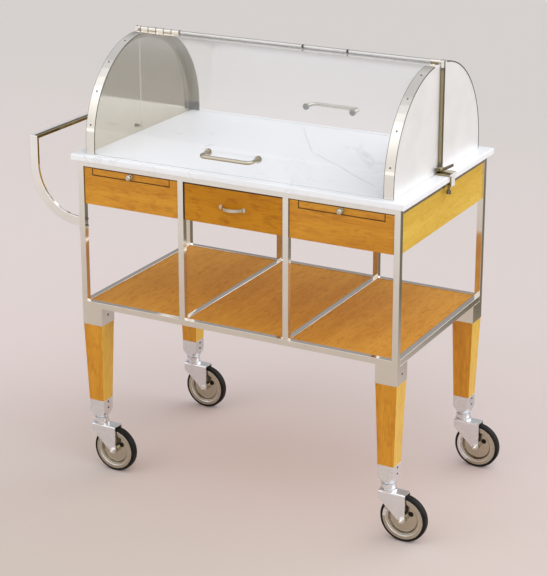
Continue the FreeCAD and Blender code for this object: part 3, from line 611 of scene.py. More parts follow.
CHROME = metal("polished_steel", (0.88, 0.835, 0.77), 0.06, 0.10)
PLATE = metal("cover_plate_steel", (0.74, 0.68, 0.56), 0.07, 0.06, 0.012)
SATIN = metal("satin_plate_steel", (0.95, 0.945, 0.945), 0.42, 0.06, 0.012, 0.3)
HANDLE_STEEL = metal("handle_steel", (0.95, 0.91, 0.87), 0.06, 0.10)
OLIVE_STEEL = metal("upright_steel", (0.36, 0.305, 0.18), 0.09, 0.10)
# Painted reflection and shade: grip and pull steel are darker and yellower than chrome, for what they mirror
GRIP_STEEL = metal("grip_steel", (0.60, 0.55, 0.44), 0.05, 0.08)
PULL_STEEL = metal("pull_steel", (0.62, 0.57, 0.45), 0.06, 0.08)
# Painted shade: darker steels for the flange and the inner faces of the bands
FLANGE_SHADE_STEEL = metal("flange_painted_shade", (0.46, 0.40, 0.26), 0.14, 0.12)
BAND_SHADE_STEEL = metal("band_inner_painted_shade", (0.36, 0.31, 0.20), 0.16, 0.12)
CASTER_STEEL = metal("caster_steel", (0.90, 0.91, 0.93), 0.26, 0.10)
ROD_STEEL = metal("ridge_rod_steel", (0.95, 0.94, 0.92), 0.60, 0.10)
DISC_STEEL = metal("wheel_steel", (0.56, 0.50, 0.39), 0.20, 0.14)
# Painted shade: darker steel for the groove ring of the wheel disc
GROOVE_SHADE_STEEL = metal("wheel_groove_painted_shade", (0.30, 0.25, 0.17), 0.24, 0.14)
DARK_STEEL = metal("dark_steel", (0.22, 0.20, 0.16), 0.22, 0.15)
MARBLE = marble()
ACRYLIC = clear_sheet()
RUBBER = rubber("tyre_rubber", (0.006, 0.005, 0.004), (0.020, 0.017, 0.013))
SEAL_DARK = rubber("seal_rubber", (0.05, 0.043, 0.032), (0.09, 0.08, 0.06))
HONEY = {"light": (0.68, 0.31, 0.024), "dark": (0.52, 0.20, 0.010), "fleck": (0.38, 0.125, 0.006)}
STRAW = {"light": (0.79, 0.50, 0.070), "dark": (0.67, 0.385, 0.038), "fleck": (0.54, 0.28, 0.024)}
PALE = {"light": (0.80, 0.54, 0.086), "dark": (0.69, 0.42, 0.049), "fleck": (0.56, 0.32, 0.031)}
DEEP = {"light": (0.58, 0.245, 0.009), "dark": (0.46, 0.17, 0.004), "fleck": (0.33, 0.105, 0.003)}
# Painted shadow: the near-black tone of the strips in the gaps of the front
SHADOW_LINE_TONES = {"light": (0.10, 0.05, 0.02), "dark": (0.06, 0.03, 0.012), "fleck": (0.04, 0.02, 0.01)}
SHELF = {"light": (0.72, 0.352, 0.052), "dark": (0.59, 0.258, 0.031), "fleck": (0.44, 0.18, 0.020)}
FRONT_WOOD = wood("front_wood", "x", figure=0.5, coat=0.25, **HONEY)
DRAWER_WOOD = wood("drawer_wood", "x", figure=0.6, coat=0.0, **DEEP)
LEG_WOOD = wood("leg_wood", "z", figure=0.45, **HONEY)
# Painted light: paler wood for the faces of the legs that look along the cart
LEG_SIDE_LIT_WOOD = wood("leg_side_painted_light", "z", figure=0.45, **STRAW)
# Partly painted light: the end panels' paler wood also stands in for the light from the right
END_WOOD = wood("end_wood", "y", figure=0.45, **PALE)
SHELF_WOOD = wood("shelf_wood", "y", figure=0.5, gloss=0.5, coat=0.0, **SHELF)
# Painted shadow: near-black wood for the strips that stand in for the shade in the gaps of the front
PAINTED_SHADOW_WOOD = wood("shadow_line_wood", "x", figure=0.3, coat=0.0, **SHADOW_LINE_TONES)
BOX_WOOD = wood("box_wood", "y", figure=0.25, gloss=0.45, coat=0.0, **PALE)


# Pieces that stand for CAD nodes


def polish_where(piece, material, is_polished):
    """Gives another finish to the faces that a test on their middle and normal picks."""
    piece.data.materials.append(material)
    number = len(piece.data.materials) - 1
    for face in piece.data.polygons:
        if is_polished(face.center, face.normal):
            face.material_index = number


def dress_handle():
    """Pale arms, and an olive bar across them whose outer half is pale on top: the bar's olive is a painted
    dark reflection, and its pale top a painted highlight.
    """
    ridge = HANDLE_LOW.x + CROSSBAR_HIGHLIGHT
    handle = dressed("push_handle", HANDLE_EDGE, HANDLE_STEEL, 4, [(ALONG, ridge)])
    crossbar_end = HANDLE_HIGH.y - HANDLE_BAR

    def is_crossbar(middle, normal):
        return abs(middle.y) < crossbar_end

    def is_painted_highlight(middle, normal):
        return is_crossbar(middle, normal) and normal.z > 0.5 and middle.x < ridge

    # Painted reflection and highlight: olive steel on the bar across, pale rod steel on its top faces
    polish_where(handle, OLIVE_STEEL, is_crossbar)
    polish_where(handle, ROD_STEEL, is_painted_highlight)


def dress_cart():
    tubes = ["front_frame", "rear_frame", "shelf_divider_left", "shelf_divider_right"]
    for side in SIDES:
        tubes += [f"side_rail_{side}_top", f"side_rail_{side}_shelf"]
    for node in tubes:
        dressed(node, TUBE_EDGE, CHROME)
    dressed("marble_top", 0, MARBLE)
    for bay in ("left", "centre", "right"):
        dressed(f"shelf_{bay}", SHELF_EDGE, SHELF_WOOD)
    for side in SIDES:
        dressed(f"fascia_{side}", PANEL_EDGE, FRONT_WOOD)
        dressed(f"end_panel_{side}", PANEL_EDGE, END_WOOD)
        dressed(f"partition_{side}", PANEL_EDGE, BOX_WOOD)
    dressed("back_panel", PANEL_EDGE, FRONT_WOOD)
    dress_handle()
    for corner in CORNERS:
        leg = dressed(f"leg_{corner}", 0, LEG_WOOD)
        # Painted light: the leg faces that look along the cart take paler wood, for the stronger light from
        # the side
        polish_where(leg, LEG_SIDE_LIT_WOOD, lambda middle, normal: abs(normal.x) > 0.7)
        dressed(f"ferrule_{corner}", FERRULE_EDGE, CASTER_STEEL, 3)


def dress_drawer_and_boards():
    dressed("drawer_front", PANEL_EDGE, DRAWER_WOOD)
    dressed("drawer_box", PANEL_EDGE, BOX_WOOD)
    dressed("drawer_pull", PULL_EDGE, PULL_STEEL, 3)
    for side in SIDES:
        dressed(f"board_{side}", PANEL_EDGE, FRONT_WOOD)
        dressed(f"knob_{side}", KNOB_EDGE, PULL_STEEL, 3)


def above_arch(point):
    """How far a point stands off the curve of the cover that it belongs to."""
    return math.hypot(abs(point.y) - ARCH_BACK, point.z - ARCH_BASE) - ARCH_RADIUS


def is_outward(middle, normal):
    """Whether a face of a cover looks away from the inside of its curve."""
    away = Vector((0, middle.y, max(middle.z - ARCH_BASE, 0)))
    return normal.dot(away) > 0


def end_face(half, side):
    """Where the outer face of a cover's end stands along the cart."""
    low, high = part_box(f"{half}_end_{side}")
    return low.x if side == "left" else high.x


def flange_face(half, side):
    """Where the inner face of the flange of a cover's end stands along the cart."""
    return end_face(half, side) - SIDE_SIGN[side] * FLANGE_FACE


def dress_cover():
    for half in HALVES:
        dressed(f"{half}_sheet", SHEET_EDGE, ACRYLIC)
        grip = dressed(f"{half}_grip", GRIP_EDGE, GRIP_STEEL)
        # Painted shadow: the grip's feet, up to GRIP_FOOT above the sheet, take dark steel
        polish_where(grip, DARK_STEEL, lambda middle, normal: above_arch(middle) < GRIP_FOOT)
        polish_where(grip, SEAL_DARK, lambda middle, normal: above_arch(middle) < GRIP_PAD)
        dressed(f"{half}_hinge_leaf", LEAF_EDGE, CHROME)
        for side in SIDES:
            dress_end(half, side)
    for side in SIDES:
        dress_upright(side)
    dressed("ridge_rod", 0, ROD_STEEL)


def dress_end(half, side):
    """An end of the cover: a plate, a darker flange inside it and a band that is bright outside. The darker
    flange and inner band faces are painted shade, and the right ends' paler plate is painted light.
    """
    # Painted light and reflection: the right ends take paler, partly diffuse steel than the left, for the
    # light from the right and the pale room they mirror
    piece = dressed(f"{half}_end_{side}", END_EDGE, PLATE if side == "left" else SATIN)
    inner_face = flange_face(half, side)

    def is_flange(middle, normal):
        return abs(middle.x - inner_face) < FLANGE_NEAR

    def is_band(middle, normal):
        return abs(normal.x) < 0.5

    def is_band_outside(middle, normal):
        return is_band(middle, normal) and is_outward(middle, normal)

    # Painted shade: darker steel on the flange and on the band's inner faces, brighter chrome outside
    polish_where(piece, FLANGE_SHADE_STEEL, is_flange)
    polish_where(piece, BAND_SHADE_STEEL, is_band)
    polish_where(piece, CHROME, is_band_outside)


def dress_upright(side):
    """An olive bar with a pale head, a dark joint at each end and a clamp with a pale cheek."""
    marble_end = MARBLE_LOW.x if side == "left" else MARBLE_HIGH.x
    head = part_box(f"upright_{side}")[1].z - UPRIGHT_HEAD
    neck = head - UPRIGHT_NECK
    claw = MARBLE_HIGH.z + CLAMP_PLATE
    ankle = claw + UPRIGHT_ANKLE
    lip = MARBLE_LOW.z - CLAMP_DROP

    def is_joint(middle, normal):
        return neck < middle.z < head or claw < middle.z < ankle or middle.z < lip

    def is_head(middle, normal):
        return middle.z > head

    def is_cheek(middle, normal):
        past_marble = SIDE_SIGN[side] * (middle.x - marble_end)
        return past_marble > CHEEK_PAST and middle.z > lip

    cuts = [(UP, ankle), (UP, neck), (UP, head)]
    bar = dressed(f"upright_{side}", UPRIGHT_EDGE, OLIVE_STEEL, cuts=cuts)
    polish_where(bar, DARK_STEEL, is_joint)
    polish_where(bar, HANDLE_STEEL, is_head)
    polish_where(bar, SATIN, is_cheek)


def dress_casters():
    for corner in CORNERS:
        dressed(f"fork_{corner}", FORK_EDGE, CASTER_STEEL)
        disc = dressed(f"disc_{corner}", DISC_EDGE, DISC_STEEL)
        hub = middle_of(f"disc_{corner}")

        def from_hub(middle):
            return math.hypot(middle.x - hub.x, middle.z - hub.z)

        # Painted shade: the groove ring of the disc takes darker steel
        polish_where(disc, GROOVE_SHADE_STEEL, lambda middle, normal: from_hub(middle) > GROOVE_FROM)
        polish_where(disc, CASTER_STEEL, lambda middle, normal: from_hub(middle) > RIM_FROM)
        dressed(f"tyre_{corner}", TYRE_EDGE, RUBBER, 3)


# Fittings, each modelled once on the XY plane and copied to its places


def new_primitive(kind, name, **settings):
    """Adds a primitive that is alone in the selection."""
    bpy.ops.object.select_all(action="DESELECT")
    getattr(bpy.ops.mesh, f"primitive_{kind}_add")(**settings)
    piece = bpy.context.object
    piece.name = name
    return piece


def raise_faces(height, narrowing=1.0):
    """Extrudes the selected faces upwards and draws the new top in."""
    bpy.ops.mesh.extrude_region_move(TRANSFORM_OT_translate={"value": (0, 0, height)})
    if narrowing != 1.0:
        bpy.ops.transform.resize(value=(narrowing, narrowing, 1))


def smooth(piece, angle=35):
    only(piece)
    bpy.ops.object.shade_smooth_by_angle(angle=math.radians(angle))


def round_head(radius, height, sides=16):
    """A domed rivet head."""
    head = new_primitive("circle", "rivet_model", vertices=sides, radius=radius, fill_type="NGON")
    bpy.ops.object.mode_set(mode="EDIT")
    for rise, narrowing in ((0.40, 0.93), (0.35, 0.78), (0.25, 0.55)):
        raise_faces(rise * height, narrowing)
    bpy.ops.object.mode_set(mode="OBJECT")
    smooth(head, 50)
    return head


def slotted_head(radius, height):
    """A round screw head with a slot across it."""
    head = round_head(radius, height)
    cutter = new_primitive(
        "cube",
        "slot_cutter",
        size=1,
        location=(0, 0, height),
        scale=(3 * radius, 0.34 * radius, 1.1 * height),
    )
    finish_modifier(head, "BOOLEAN", object=cutter, operation="DIFFERENCE", solver="EXACT")
    bpy.data.objects.remove(cutter)
    return head


def capped_nut(radius):
    """A six-sided nut with a domed cap."""
    nut = new_primitive("circle", "nut_model", vertices=6, radius=radius, fill_type="NGON")
    bpy.ops.object.mode_set(mode="EDIT")
    raise_faces(0.75 * radius)
    raise_faces(0.10 * radius, 0.78)
    raise_faces(0.40 * radius, 0.90)
    raise_faces(0.30 * radius, 0.62)
    bpy.ops.object.mode_set(mode="OBJECT")
    finish_modifier(nut, "BEVEL", width=0.1 * radius, segments=2, limit_method="ANGLE", angle_limit=0.5)
    smooth(nut)
    return nut


def turned(name, outline, steps=28):
    """A turned piece: an outline in millimetres, drawn from a vertex and spun round the Z axis."""
    piece = new_primitive("plane", name, size=MM)
    bpy.ops.object.mode_set(mode="EDIT")
    bpy.ops.mesh.select_all(action="SELECT")
    bpy.ops.mesh.merge(type="CENTER")
    points = [MM * Vector((radius, 0, height)) for radius, height in outline]
    bpy.ops.transform.translate(value=points[0])
    for start, end in zip(points, points[1:]):
        bpy.ops.mesh.extrude_vertices_move(TRANSFORM_OT_translate={"value": end - start})
    bpy.ops.mesh.select_all(action="SELECT")
    bpy.ops.mesh.spin(steps=steps, angle=2 * math.pi, center=(0, 0, 0), axis=(0, 0, 1))
    bpy.ops.mesh.select_all(action="SELECT")
    bpy.ops.mesh.remove_doubles(threshold=SPIN_MERGE_NEAR)
    bpy.ops.mesh.normals_make_consistent(inside=False)
    bpy.ops.object.mode_set(mode="OBJECT")
    smooth(piece, 40)
    return piece


def wing():
    """One ear of a wing nut, standing along +Y from its hub."""
    ear = new_primitive("cube", "wing_model", size=1, location=(0, 0.5, 0.5))
    bpy.ops.object.transform_apply(location=True)
    bpy.ops.object.mode_set(mode="EDIT")
    bpy.ops.mesh.select_all(action="SELECT")
    bpy.ops.transform.resize(value=(EAR_THICK, EAR_LENGTH, EAR_HEIGHT), center_override=(0, 0, 0))
    bpy.ops.mesh.subdivide(number_cuts=3)
    bpy.ops.object.mode_set(mode="OBJECT")
    for vertex in ear.data.vertices:
        vertex.co.z += EAR_RISE * vertex.co.y
        vertex.co.x *= 1.0 - EAR_TAPER * vertex.co.y / EAR_LENGTH
    finish_modifier(ear, "SUBSURF", levels=1, render_levels=1)
    smooth(ear, 60)
    return ear


def facing(point, towards, turn=0.0):
    """The placement of a fitting that stands on a point with its top along a direction."""
    swing = UP.rotation_difference(Vector(towards)).to_matrix().to_4x4()
    return Matrix.Translation(Vector(point)) @ swing @ Matrix.Rotation(turn, 4, "Z")


def fit(model, name, placement, body, material):
    """A copy of a fitting at its place, with its own mesh."""
    piece = bpy.data.objects.new(name, model.data.copy())
    bpy.context.scene.collection.objects.link(piece)
    piece.data.transform(placement)
    piece.data.materials.clear()
    piece.data.materials.append(material)
    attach(piece, body)


def on_arch(half, angle, lift):
    """A point on a cover's curve, and the way out from it, at an angle up from its foot."""
    sign = HALF_SIGN[half]
    towards = Vector((0, sign * math.cos(angle), math.sin(angle)))
    middle = Vector((0, sign * ARCH_BACK, ARCH_BASE))
    return middle + (ARCH_RADIUS + lift) * towards, towards


def cover_rivets():
    """Rivets through the bands and the flanges of the four ends, and screws in the hinge leaves and lugs."""
    rivet = round_head(*BAND_RIVET)
    screw = slotted_head(*COVER_SCREW)
    for half in HALVES:
        body = f"{half}_cover"
        out = Vector((0, HALF_SIGN[half], 0))
        for side in SIDES:
            sign = SIDE_SIGN[side]
            band_x = end_face(half, side) - sign * 0.5 * BAND_WIDTH
            flange_x = flange_face(half, side)
            for number, degrees in enumerate(RIVET_ANGLES, 1):
                point, towards = on_arch(half, math.radians(degrees), BAND_THICK)
                point.x = band_x
                fit(rivet, f"{half}_{side}_band_rivet_{number}", facing(point, towards), body, DARK_STEEL)
                point = on_arch(half, math.radians(degrees - FLANGE_RIVET_BACK), -FLANGE_MIDDLE)[0]
                point.x = flange_x
                name = f"{half}_{side}_flange_rivet_{number}"
                fit(rivet, name, facing(point, (-sign, 0, 0)), body, CHROME)
            foot = (BAND_THICK - SHEET_LOW.y) * out
            foot.x = band_x
            foot.z = ARCH_BASE - 0.5 * COVER_SKIRT
            fit(screw, f"{half}_{side}_foot_screw", facing(foot, out, FOOT_SCREW_TURN), body, CHROME)
        leaf_low, leaf_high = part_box(f"{half}_hinge_leaf")
        leaf_y = HALF_SIGN[half] * LEAF_SCREW_LINE
        leaf_z = SHEET_HIGH.z + BAND_THICK
        for number, share in enumerate(LEAF_SCREW_SHARES, 1):
            leaf_x = leaf_low.x + share * (leaf_high.x - leaf_low.x)
            place = facing((leaf_x, leaf_y, leaf_z), UP, number)
            fit(screw, f"{half}_leaf_screw_{number}", place, body, CHROME)
        lug_x = end_face(half, "right") - 0.5 * BAND_WIDTH
        place = facing((lug_x, leaf_y, leaf_z), UP, LUG_SCREW_TURN)
        fit(screw, f"{half}_lug_screw", place, body, CHROME)
    bpy.data.objects.remove(rivet)
    bpy.data.objects.remove(screw)


def leg_screws():
    """Screws on both sides of each socket and ferrule, into the legs."""
    screw = slotted_head(*LEG_SCREW)
    for corner in CORNERS:
        leg = middle_of(f"leg_{corner}")
        ferrule_low, ferrule_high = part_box(f"ferrule_{corner}")
        for side, sign in SIDE_SIGN.items():
            out = (sign, 0, 0)
            point = (leg.x + sign * 0.5 * SOCKET_WIDTH, leg.y, FRAME_LOW.z + 0.5 * SOCKET_HEIGHT)
            place = facing(point, out, SOCKET_SCREW_TURN)
            fit(screw, f"{corner}_{side}_socket_screw", place, "cart", DARK_STEEL)
            ferrule_x = ferrule_low.x if side == "left" else ferrule_high.x
            for number, drop in enumerate(FERRULE_SCREWS, 1):
                point = (ferrule_x, leg.y, ferrule_high.z - drop)
                place = facing(point, out, FERRULE_SCREW_TURN * number)
                fit(screw, f"{corner}_{side}_ferrule_screw_{number}", place, "cart", DARK_STEEL)
    bpy.data.objects.remove(screw)


def handle_nuts():
    """Capped nuts inside the left posts, on the bolts that hold the push handle."""
    nut = capped_nut(HANDLE_NUT)
    for half in HALVES:
        post_y = HALF_SIGN[half] * (-FRAME_LOW.y - 0.5 * TUBE)
        for number, step in enumerate((-HANDLE_BOLT_STEP, HANDLE_BOLT_STEP), 1):
            point = (FRAME_LOW.x + TUBE, post_y, HANDLE_BOLT_Z + step)
            place = facing(point, ALONG, HANDLE_NUT_TURN)
            fit(nut, f"{half}_handle_nut_{number}", place, "cart", DARK_STEEL)
    bpy.data.objects.remove(nut)


def axle_nuts():
    """Capped nuts on both ends of each axle."""
    nut = capped_nut(AXLE_NUT)
    for corner in CORNERS:
        fork_low, fork_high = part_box(f"fork_{corner}")
        axle = middle_of(f"tyre_{corner}")
        for number, face in enumerate((fork_low.y + AXLE_HEAD, fork_high.y - AXLE_HEAD), 1):
            out = (0, -1, 0) if number == 1 else (0, 1, 0)
            place = facing((axle.x, face, axle.z), out, AXLE_NUT_TURN)
            fit(nut, f"{corner}_axle_nut_{number}", place, f"caster_{corner}", CHROME)
    bpy.data.objects.remove(nut)


def upright_fittings():
    """The ball and wings at the foot of each upright, and the collars on the ridge rod."""
    ball = turned("ball_model", BALL_OUTLINE)
    ear = wing()
    collar = turned("collar_model", COLLAR_OUTLINE)
    for side in SIDES:
        low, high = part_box(f"upright_{side}")
        inner = high.x if side == "left" else low.x
        bar_x = inner + SIDE_SIGN[side] * UPRIGHT_MIDDLE
        foot = Vector((bar_x, 0, MARBLE_HIGH.z + CLAMP_PLATE))
        fit(ball, f"upright_ball_{side}", Matrix.Translation(foot), "cart", OLIVE_STEEL)
        for number, turn in enumerate(EAR_TURNS, 1):
            swing = Matrix.Rotation(SIDE_SIGN[side] * turn, 4, "Z")
            spot = Matrix.Translation(foot) @ swing @ Matrix.Translation((0, EAR_ROOT, 0))
            fit(ear, f"upright_wing_{side}_{number}", spot, "cart", DARK_STEEL)
    for number, x in enumerate(COLLAR_PLACES, 1):
        place = facing((CART_X + x, 0, ROD_Z), ALONG)
        fit(collar, f"rod_collar_{number}", place, "cart", SEAL_DARK)
    for model in (ball, ear, collar):
        bpy.data.objects.remove(model)


def hinge_washers():
    """Dark washers on the ridge rod between the barrels of the long hinge."""
    washer = turned("washer_model", WASHER_OUTLINE)
    leaf_low, leaf_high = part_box("front_hinge_leaf")
    for number in range(KNUCKLES + 1):
        x = leaf_low.x + number / KNUCKLES * (leaf_high.x - leaf_low.x)
        fit(washer, f"hinge_washer_{number}", facing((x, 0, ROD_Z), ALONG), "cart", DARK_STEEL)
    bpy.data.objects.remove(washer)


def wheel_plugs():
    """A dark turned piece in the round hole of each wheel disc, which makes the hole look dark."""
    plug = turned("plug_model", PLUG_OUTLINE)
    for corner in CORNERS:
        point = middle_of(f"tyre_{corner}") + Vector((PLUG_X, 0, PLUG_Z))
        body = body_of(f"disc_{corner}")
        fit(plug, f"{corner}_wheel_plug", facing(point, (0, -1, 0)), body, RUBBER)
    bpy.data.objects.remove(plug)


def knob_shade_rings():
    """Painted shade and reflection: a dark round plate behind each knob, standing in for the dark ring round
    the polished knob.
    """
    shade_ring = turned("shade_ring_model", SHADE_RING_OUTLINE)
    for side in SIDES:
        point = middle_of(f"knob_{side}")
        point.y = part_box(f"board_{side}")[0].y
        place = facing(point, (0, -1, 0))
        fit(shade_ring, f"knob_shade_ring_{side}", place, body_of(f"knob_{side}"), DARK_STEEL)
    bpy.data.objects.remove(shade_ring)


def cover_pegs():
    """The small turned peg inside each end of the front cover."""
    peg = turned("peg_model", PEG_OUTLINE)
    for side in SIDES:
        sign = SIDE_SIGN[side]
        sheet_end = SHEET_LOW.x if side == "left" else SHEET_HIGH.x
        point = (sheet_end, -PEG_BACK, MARBLE_HIGH.z + PEG_HEIGHT)
        fit(peg, f"front_peg_{side}", facing(point, (-sign, 0, 0)), "front_cover", GRIP_STEEL)
    bpy.data.objects.remove(peg)


# Thin lines between pieces: dark strips of painted shadow in the gaps of the front, and bright strips inside
# the cover


def line_box(name, low, high, body, material):
    """A thin strip with softened edges between two corners."""
    strip = new_primitive("cube", name, size=1, location=(Vector(low) + Vector(high)) / 2)
    bpy.ops.object.mode_set(mode="EDIT")
    bpy.ops.transform.resize(value=Vector(high) - Vector(low))
    bpy.ops.mesh.bevel(offset=STRIP_EDGE, segments=2, affect="EDGES")
    bpy.ops.object.mode_set(mode="OBJECT")
    bpy.ops.object.transform_apply(location=True)
    strip.data.materials.append(material)
    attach(strip, body)


def slot_lines():
    """Painted shadow: dark strips round each board's slot and along the top and left edges of the front, for
    the shade in these gaps and under the rails.
    """
    for side in SIDES:
        board_low, board_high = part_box(f"board_{side}")
        panel_low, panel_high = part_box(f"fascia_{side}")
        left, right = board_low.x - SLOT_GAP, board_high.x + SLOT_GAP
        bottom, top = board_low.z - SLOT_GAP, panel_high.z
        back, front = panel_low.y + LET_IN, panel_low.y - SLOT_SHADOW_PROUD
        spans = {
            "below": ((left - SLOT_SHADOW, front, bottom - SLOT_SHADOW), (right + SLOT_SHADOW, back, bottom)),
            "left": ((left - SLOT_SHADOW, front, bottom), (left, back, top)),
            "right": ((right, front, bottom), (right + SLOT_SHADOW, back, top)),
        }
        for where, (low, high) in spans.items():
            line_box(f"stringing_{side}_{where}", low, high, "cart", PAINTED_SHADOW_WOOD)
        panel_edges = [(panel_low.x, left - SLOT_SHADOW), (right + SLOT_SHADOW, panel_high.x)]
        top_shadow_line(f"fascia_{side}", panel_edges, FASCIA_TOP_SHADOW)
        top_shadow_line(f"board_{side}", [(board_low.x, board_high.x)], BOARD_TOP_SHADOW)
        side_shadow_line(f"fascia_{side}", FASCIA_SIDE_SHADOW)
    drawer_low, drawer_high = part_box("drawer_front")
    top_shadow_line("drawer_front", [(drawer_low.x, drawer_high.x)], DRAWER_TOP_SHADOW)
    side_shadow_line("drawer_front", DRAWER_SIDE_SHADOW)


def top_shadow_line(node, runs, deep):
    """Painted shadow: dark strips let into the top edge of a panel of the front, for the shade under the rail
    above it.
    """
    low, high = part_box(node)
    for number, (start, end) in enumerate(runs, 1):
        near = (start, low.y - PROUD, high.z - deep)
        far = (end, low.y + LET_IN, high.z)
        line_box(f"{node}_top_shadow_line_{number}", near, far, body_of(node), PAINTED_SHADOW_WOOD)


def side_shadow_line(node, wide):
    """Painted shadow: a dark strip let into the left edge of a panel of the front, for the shade in the gap
    beside it.
    """
    low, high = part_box(node)
    near = (low.x, low.y - PROUD, low.z)
    far = (low.x + wide, low.y + LET_IN, high.z)
    line_box(f"{node}_side_shadow_line", near, far, body_of(node), PAINTED_SHADOW_WOOD)


def meeting_strips():
    """A bright strip inside each end of the front cover, where it meets the rear one."""
    for side in SIDES:
        inner = SHEET_LOW.x if side == "left" else SHEET_HIGH.x
        face = inner - SIDE_SIGN[side] * STRIP_THICK
        low = (min(inner, face), -STRIP_FROM, MARBLE_HIGH.z + STRIP_LIFT)
        high = (max(inner, face), -STRIP_TO, SHEET_HIGH.z - STRIP_DROP)
        line_box(f"meeting_strip_{side}", low, high, "front_cover", CHROME)


def edge_lines():
    """Dark sealing strips along both edges of the four bands."""
    for half in HALVES:
        for side in SIDES:
            outside = end_face(half, side)
            outward = SIDE_SIGN[side]
            inside = outside - outward * BAND_WIDTH
            arch_line(f"{half}_{side}_inner_seal", half, inside, -outward * SEAL, 0.0, SEAL)
            arch_line(f"{half}_{side}_outer_seal", half, outside, outward * OUTER_SEAL, -SEAL, BAND_THICK)


def arch_line(name, half, x, width, low, high):
    """A strip of a given section spun along a cover's curve, down to the marble."""
    sign = HALF_SIGN[half]
    seal = new_primitive("plane", name, size=1)
    bpy.ops.object.mode_set(mode="EDIT")
    bpy.ops.mesh.select_all(action="SELECT")
    bpy.ops.transform.resize(value=(abs(width), high - low, 1))
    middle_y = ARCH_BACK + ARCH_RADIUS + (low + high) / 2
    foot = (x + width / 2, sign * middle_y, MARBLE_HIGH.z + SEAL_LIFT)
    bpy.ops.transform.translate(value=foot)
    raise_faces(COVER_SKIRT - SEAL_LIFT)
    bpy.ops.mesh.spin(
        steps=48,
        angle=-sign * SEAL_SWEEP,
        center=(0, sign * ARCH_BACK, ARCH_BASE),
        axis=(1, 0, 0),
    )
    bpy.ops.mesh.select_all(action="SELECT")
    bpy.ops.mesh.remove_doubles(threshold=SPIN_MERGE_NEAR)
    bpy.ops.mesh.normals_make_consistent(inside=False)
    bpy.ops.object.mode_set(mode="OBJECT")
    smooth(seal)
    seal.data.materials.append(SEAL_DARK)
    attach(seal, f"{half}_cover")


# Light, floor and camera


def mirrored(tree):
    """1 for what polished metal mirrors, and 0 for what is seen directly or through the clear cover."""
    return tree.math("MINIMUM", tree.add("ShaderNodeLightPath").outputs["Glossy Depth"], 1.0)


def floor():
    """A wide pale sweep of paper with painted light and painted reflections: its tones change from front to
    back, and only polished metal shows it lighter before the cart and darker behind it.
    """
    bpy.ops.object.select_all(action="DESELECT")
    bpy.ops.mesh.primitive_plane_add(size=FLOOR_SIZE)
    ground = bpy.context.object
    ground.name = "studio_floor"
    material, tree, shader, place = new_material("studio_floor")
    parts = tree.add("ShaderNodeSeparateXYZ")
    tree.feed(parts.inputs["Vector"], place)
    depth = parts.outputs["Y"]
    apron = tree.mix(mirrored(tree), rgb(*APRON_TONE), rgb(*APRON_PAINTED_REFLECTION))
    front = tree.mix(tree.ramp(depth, *APRON_TO_FRONT), apron, rgb(*FRONT_TONE))
    middle = tree.mix(tree.ramp(depth, *FRONT_TO_MIDDLE), front, rgb(*MIDDLE_TONE))
    tone = tree.mix(tree.ramp(depth, *MIDDLE_TO_FAR), middle, rgb(*FAR_TONE))
    near_share = tree.ramp(depth, *MIRRORED_SETS_IN, 0.0, MIRRORED_SHARE)
    far_share = tree.ramp(depth, *MIRRORED_THINS, 1.0, MIRRORED_FAR_SHARE)
    behind = tree.math("MULTIPLY", tree.math("MULTIPLY", near_share, far_share), mirrored(tree))
    tree.feed(shader.inputs["Base Color"], tree.mix(behind, tone, rgb(*PAINTED_DARK_REFLECTION)))
    shader.inputs["Roughness"].default_value = 0.9
    shader.inputs["Specular IOR Level"].default_value = 0.1
    ground.data.materials.append(material)


def soft_lamp(name, towards, level, spread):
    """A wide far lamp that isn't seen through the cover: level 1 lights a white sheet facing it to white."""
    data = bpy.data.lights.new(name, "SUN")
    data.energy = level * math.pi
    data.angle = math.radians(spread)
    lamp = bpy.data.objects.new(name, data)
    lamp.rotation_euler = Vector(towards).to_track_quat("Z", "Y").to_euler()
    lamp.visible_transmission = False
    bpy.context.scene.collection.objects.link(lamp)


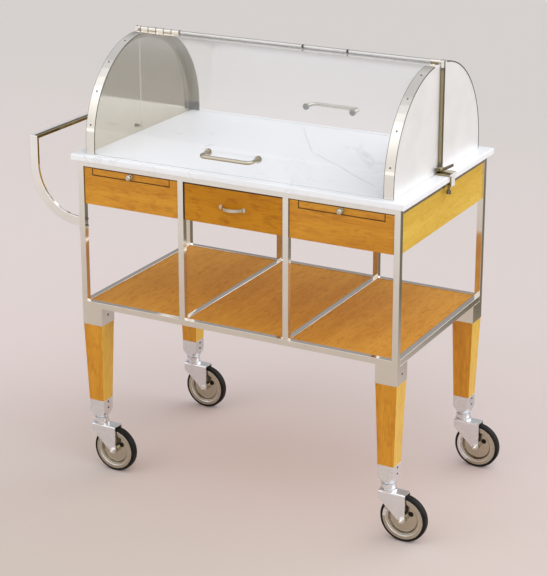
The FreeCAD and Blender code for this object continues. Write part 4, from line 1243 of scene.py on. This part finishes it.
def studio_world():
    """A pale room whose dark end isn't seen directly, and a low dark band that only polished metal shows."""
    world = bpy.data.worlds.new("studio")
    world.use_nodes = True
    bpy.context.scene.world = world
    tree = Tree(world.node_tree)
    heading = tree.add("ShaderNodeTexCoord").outputs["Generated"]
    parts = tree.add("ShaderNodeSeparateXYZ")
    tree.feed(parts.inputs["Vector"], heading)
    height = parts.outputs["Z"]
    room = tree.mix(tree.ramp(height, *ROOM_RISE), rgb(*ROOM_LOW), rgb(*ROOM_HIGH))
    facing_dark = tree.add("ShaderNodeVectorMath", operation="DOT_PRODUCT")
    tree.feed(facing_dark.inputs[0], heading)
    tree.feed(facing_dark.inputs[1], DARK_END)
    share = tree.ramp(facing_dark.outputs["Value"], *DARK_END_REACH, 0.0, DARK_END_SHARE)
    path = tree.add("ShaderNodeLightPath").outputs
    looked_at = tree.math("MAXIMUM", path["Is Camera Ray"], path["Is Transmission Ray"])
    dark = tree.math("MULTIPLY", share, tree.math("SUBTRACT", 1.0, looked_at))
    dimmed = tree.mix(dark, room, rgb(*DARK_END_TONE))
    fading = tree.ramp(height, *HORIZON_FADE, HORIZON_SHARE, 0.0)
    horizon = tree.math("MULTIPLY", tree.ramp(height, *HORIZON_RISE), fading)
    shown = tree.math("MULTIPLY", horizon, mirrored(tree))
    back = world.node_tree.nodes["Background"]
    tree.feed(back.inputs["Color"], tree.mix(shown, dimmed, rgb(*HORIZON_TONE)))
    back.inputs["Strength"].default_value = 1.0


def lights():
    studio_world()
    soft_lamp("key_light", KEY_WAY, KEY_LEVEL, KEY_SPREAD)
    for number, spread in enumerate(FILL_SPREADS, 1):
        soft_lamp(f"fill_light_{number}", FILL_WAY, FILL_LEVEL / len(FILL_SPREADS), spread)
    soft_lamp("rim_light", RIM_WAY, RIM_LEVEL, RIM_SPREAD)


def camera():
    data = bpy.data.cameras.new("photo_camera")
    data.lens = CAMERA_LENS
    data.sensor_width = CAMERA_SENSOR
    data.shift_y = CAMERA_SHIFT
    eye = bpy.data.objects.new("photo_camera", data)
    eye.location = CAMERA_PLACE
    eye.rotation_euler = (math.pi / 2 - CAMERA_DOWN, 0, CAMERA_TURN)
    bpy.context.scene.collection.objects.link(eye)
    bpy.context.scene.camera = eye


bpy.context.scene.view_settings.view_transform = "Standard"
camera()
floor()
lights()
dress_cart()
dress_drawer_and_boards()
dress_cover()
dress_casters()
cover_rivets()
leg_screws()
handle_nuts()
axle_nuts()
upright_fittings()
cover_pegs()
hinge_washers()
wheel_plugs()
knob_shade_rings()
slot_lines()
meeting_strips()
edge_lines()
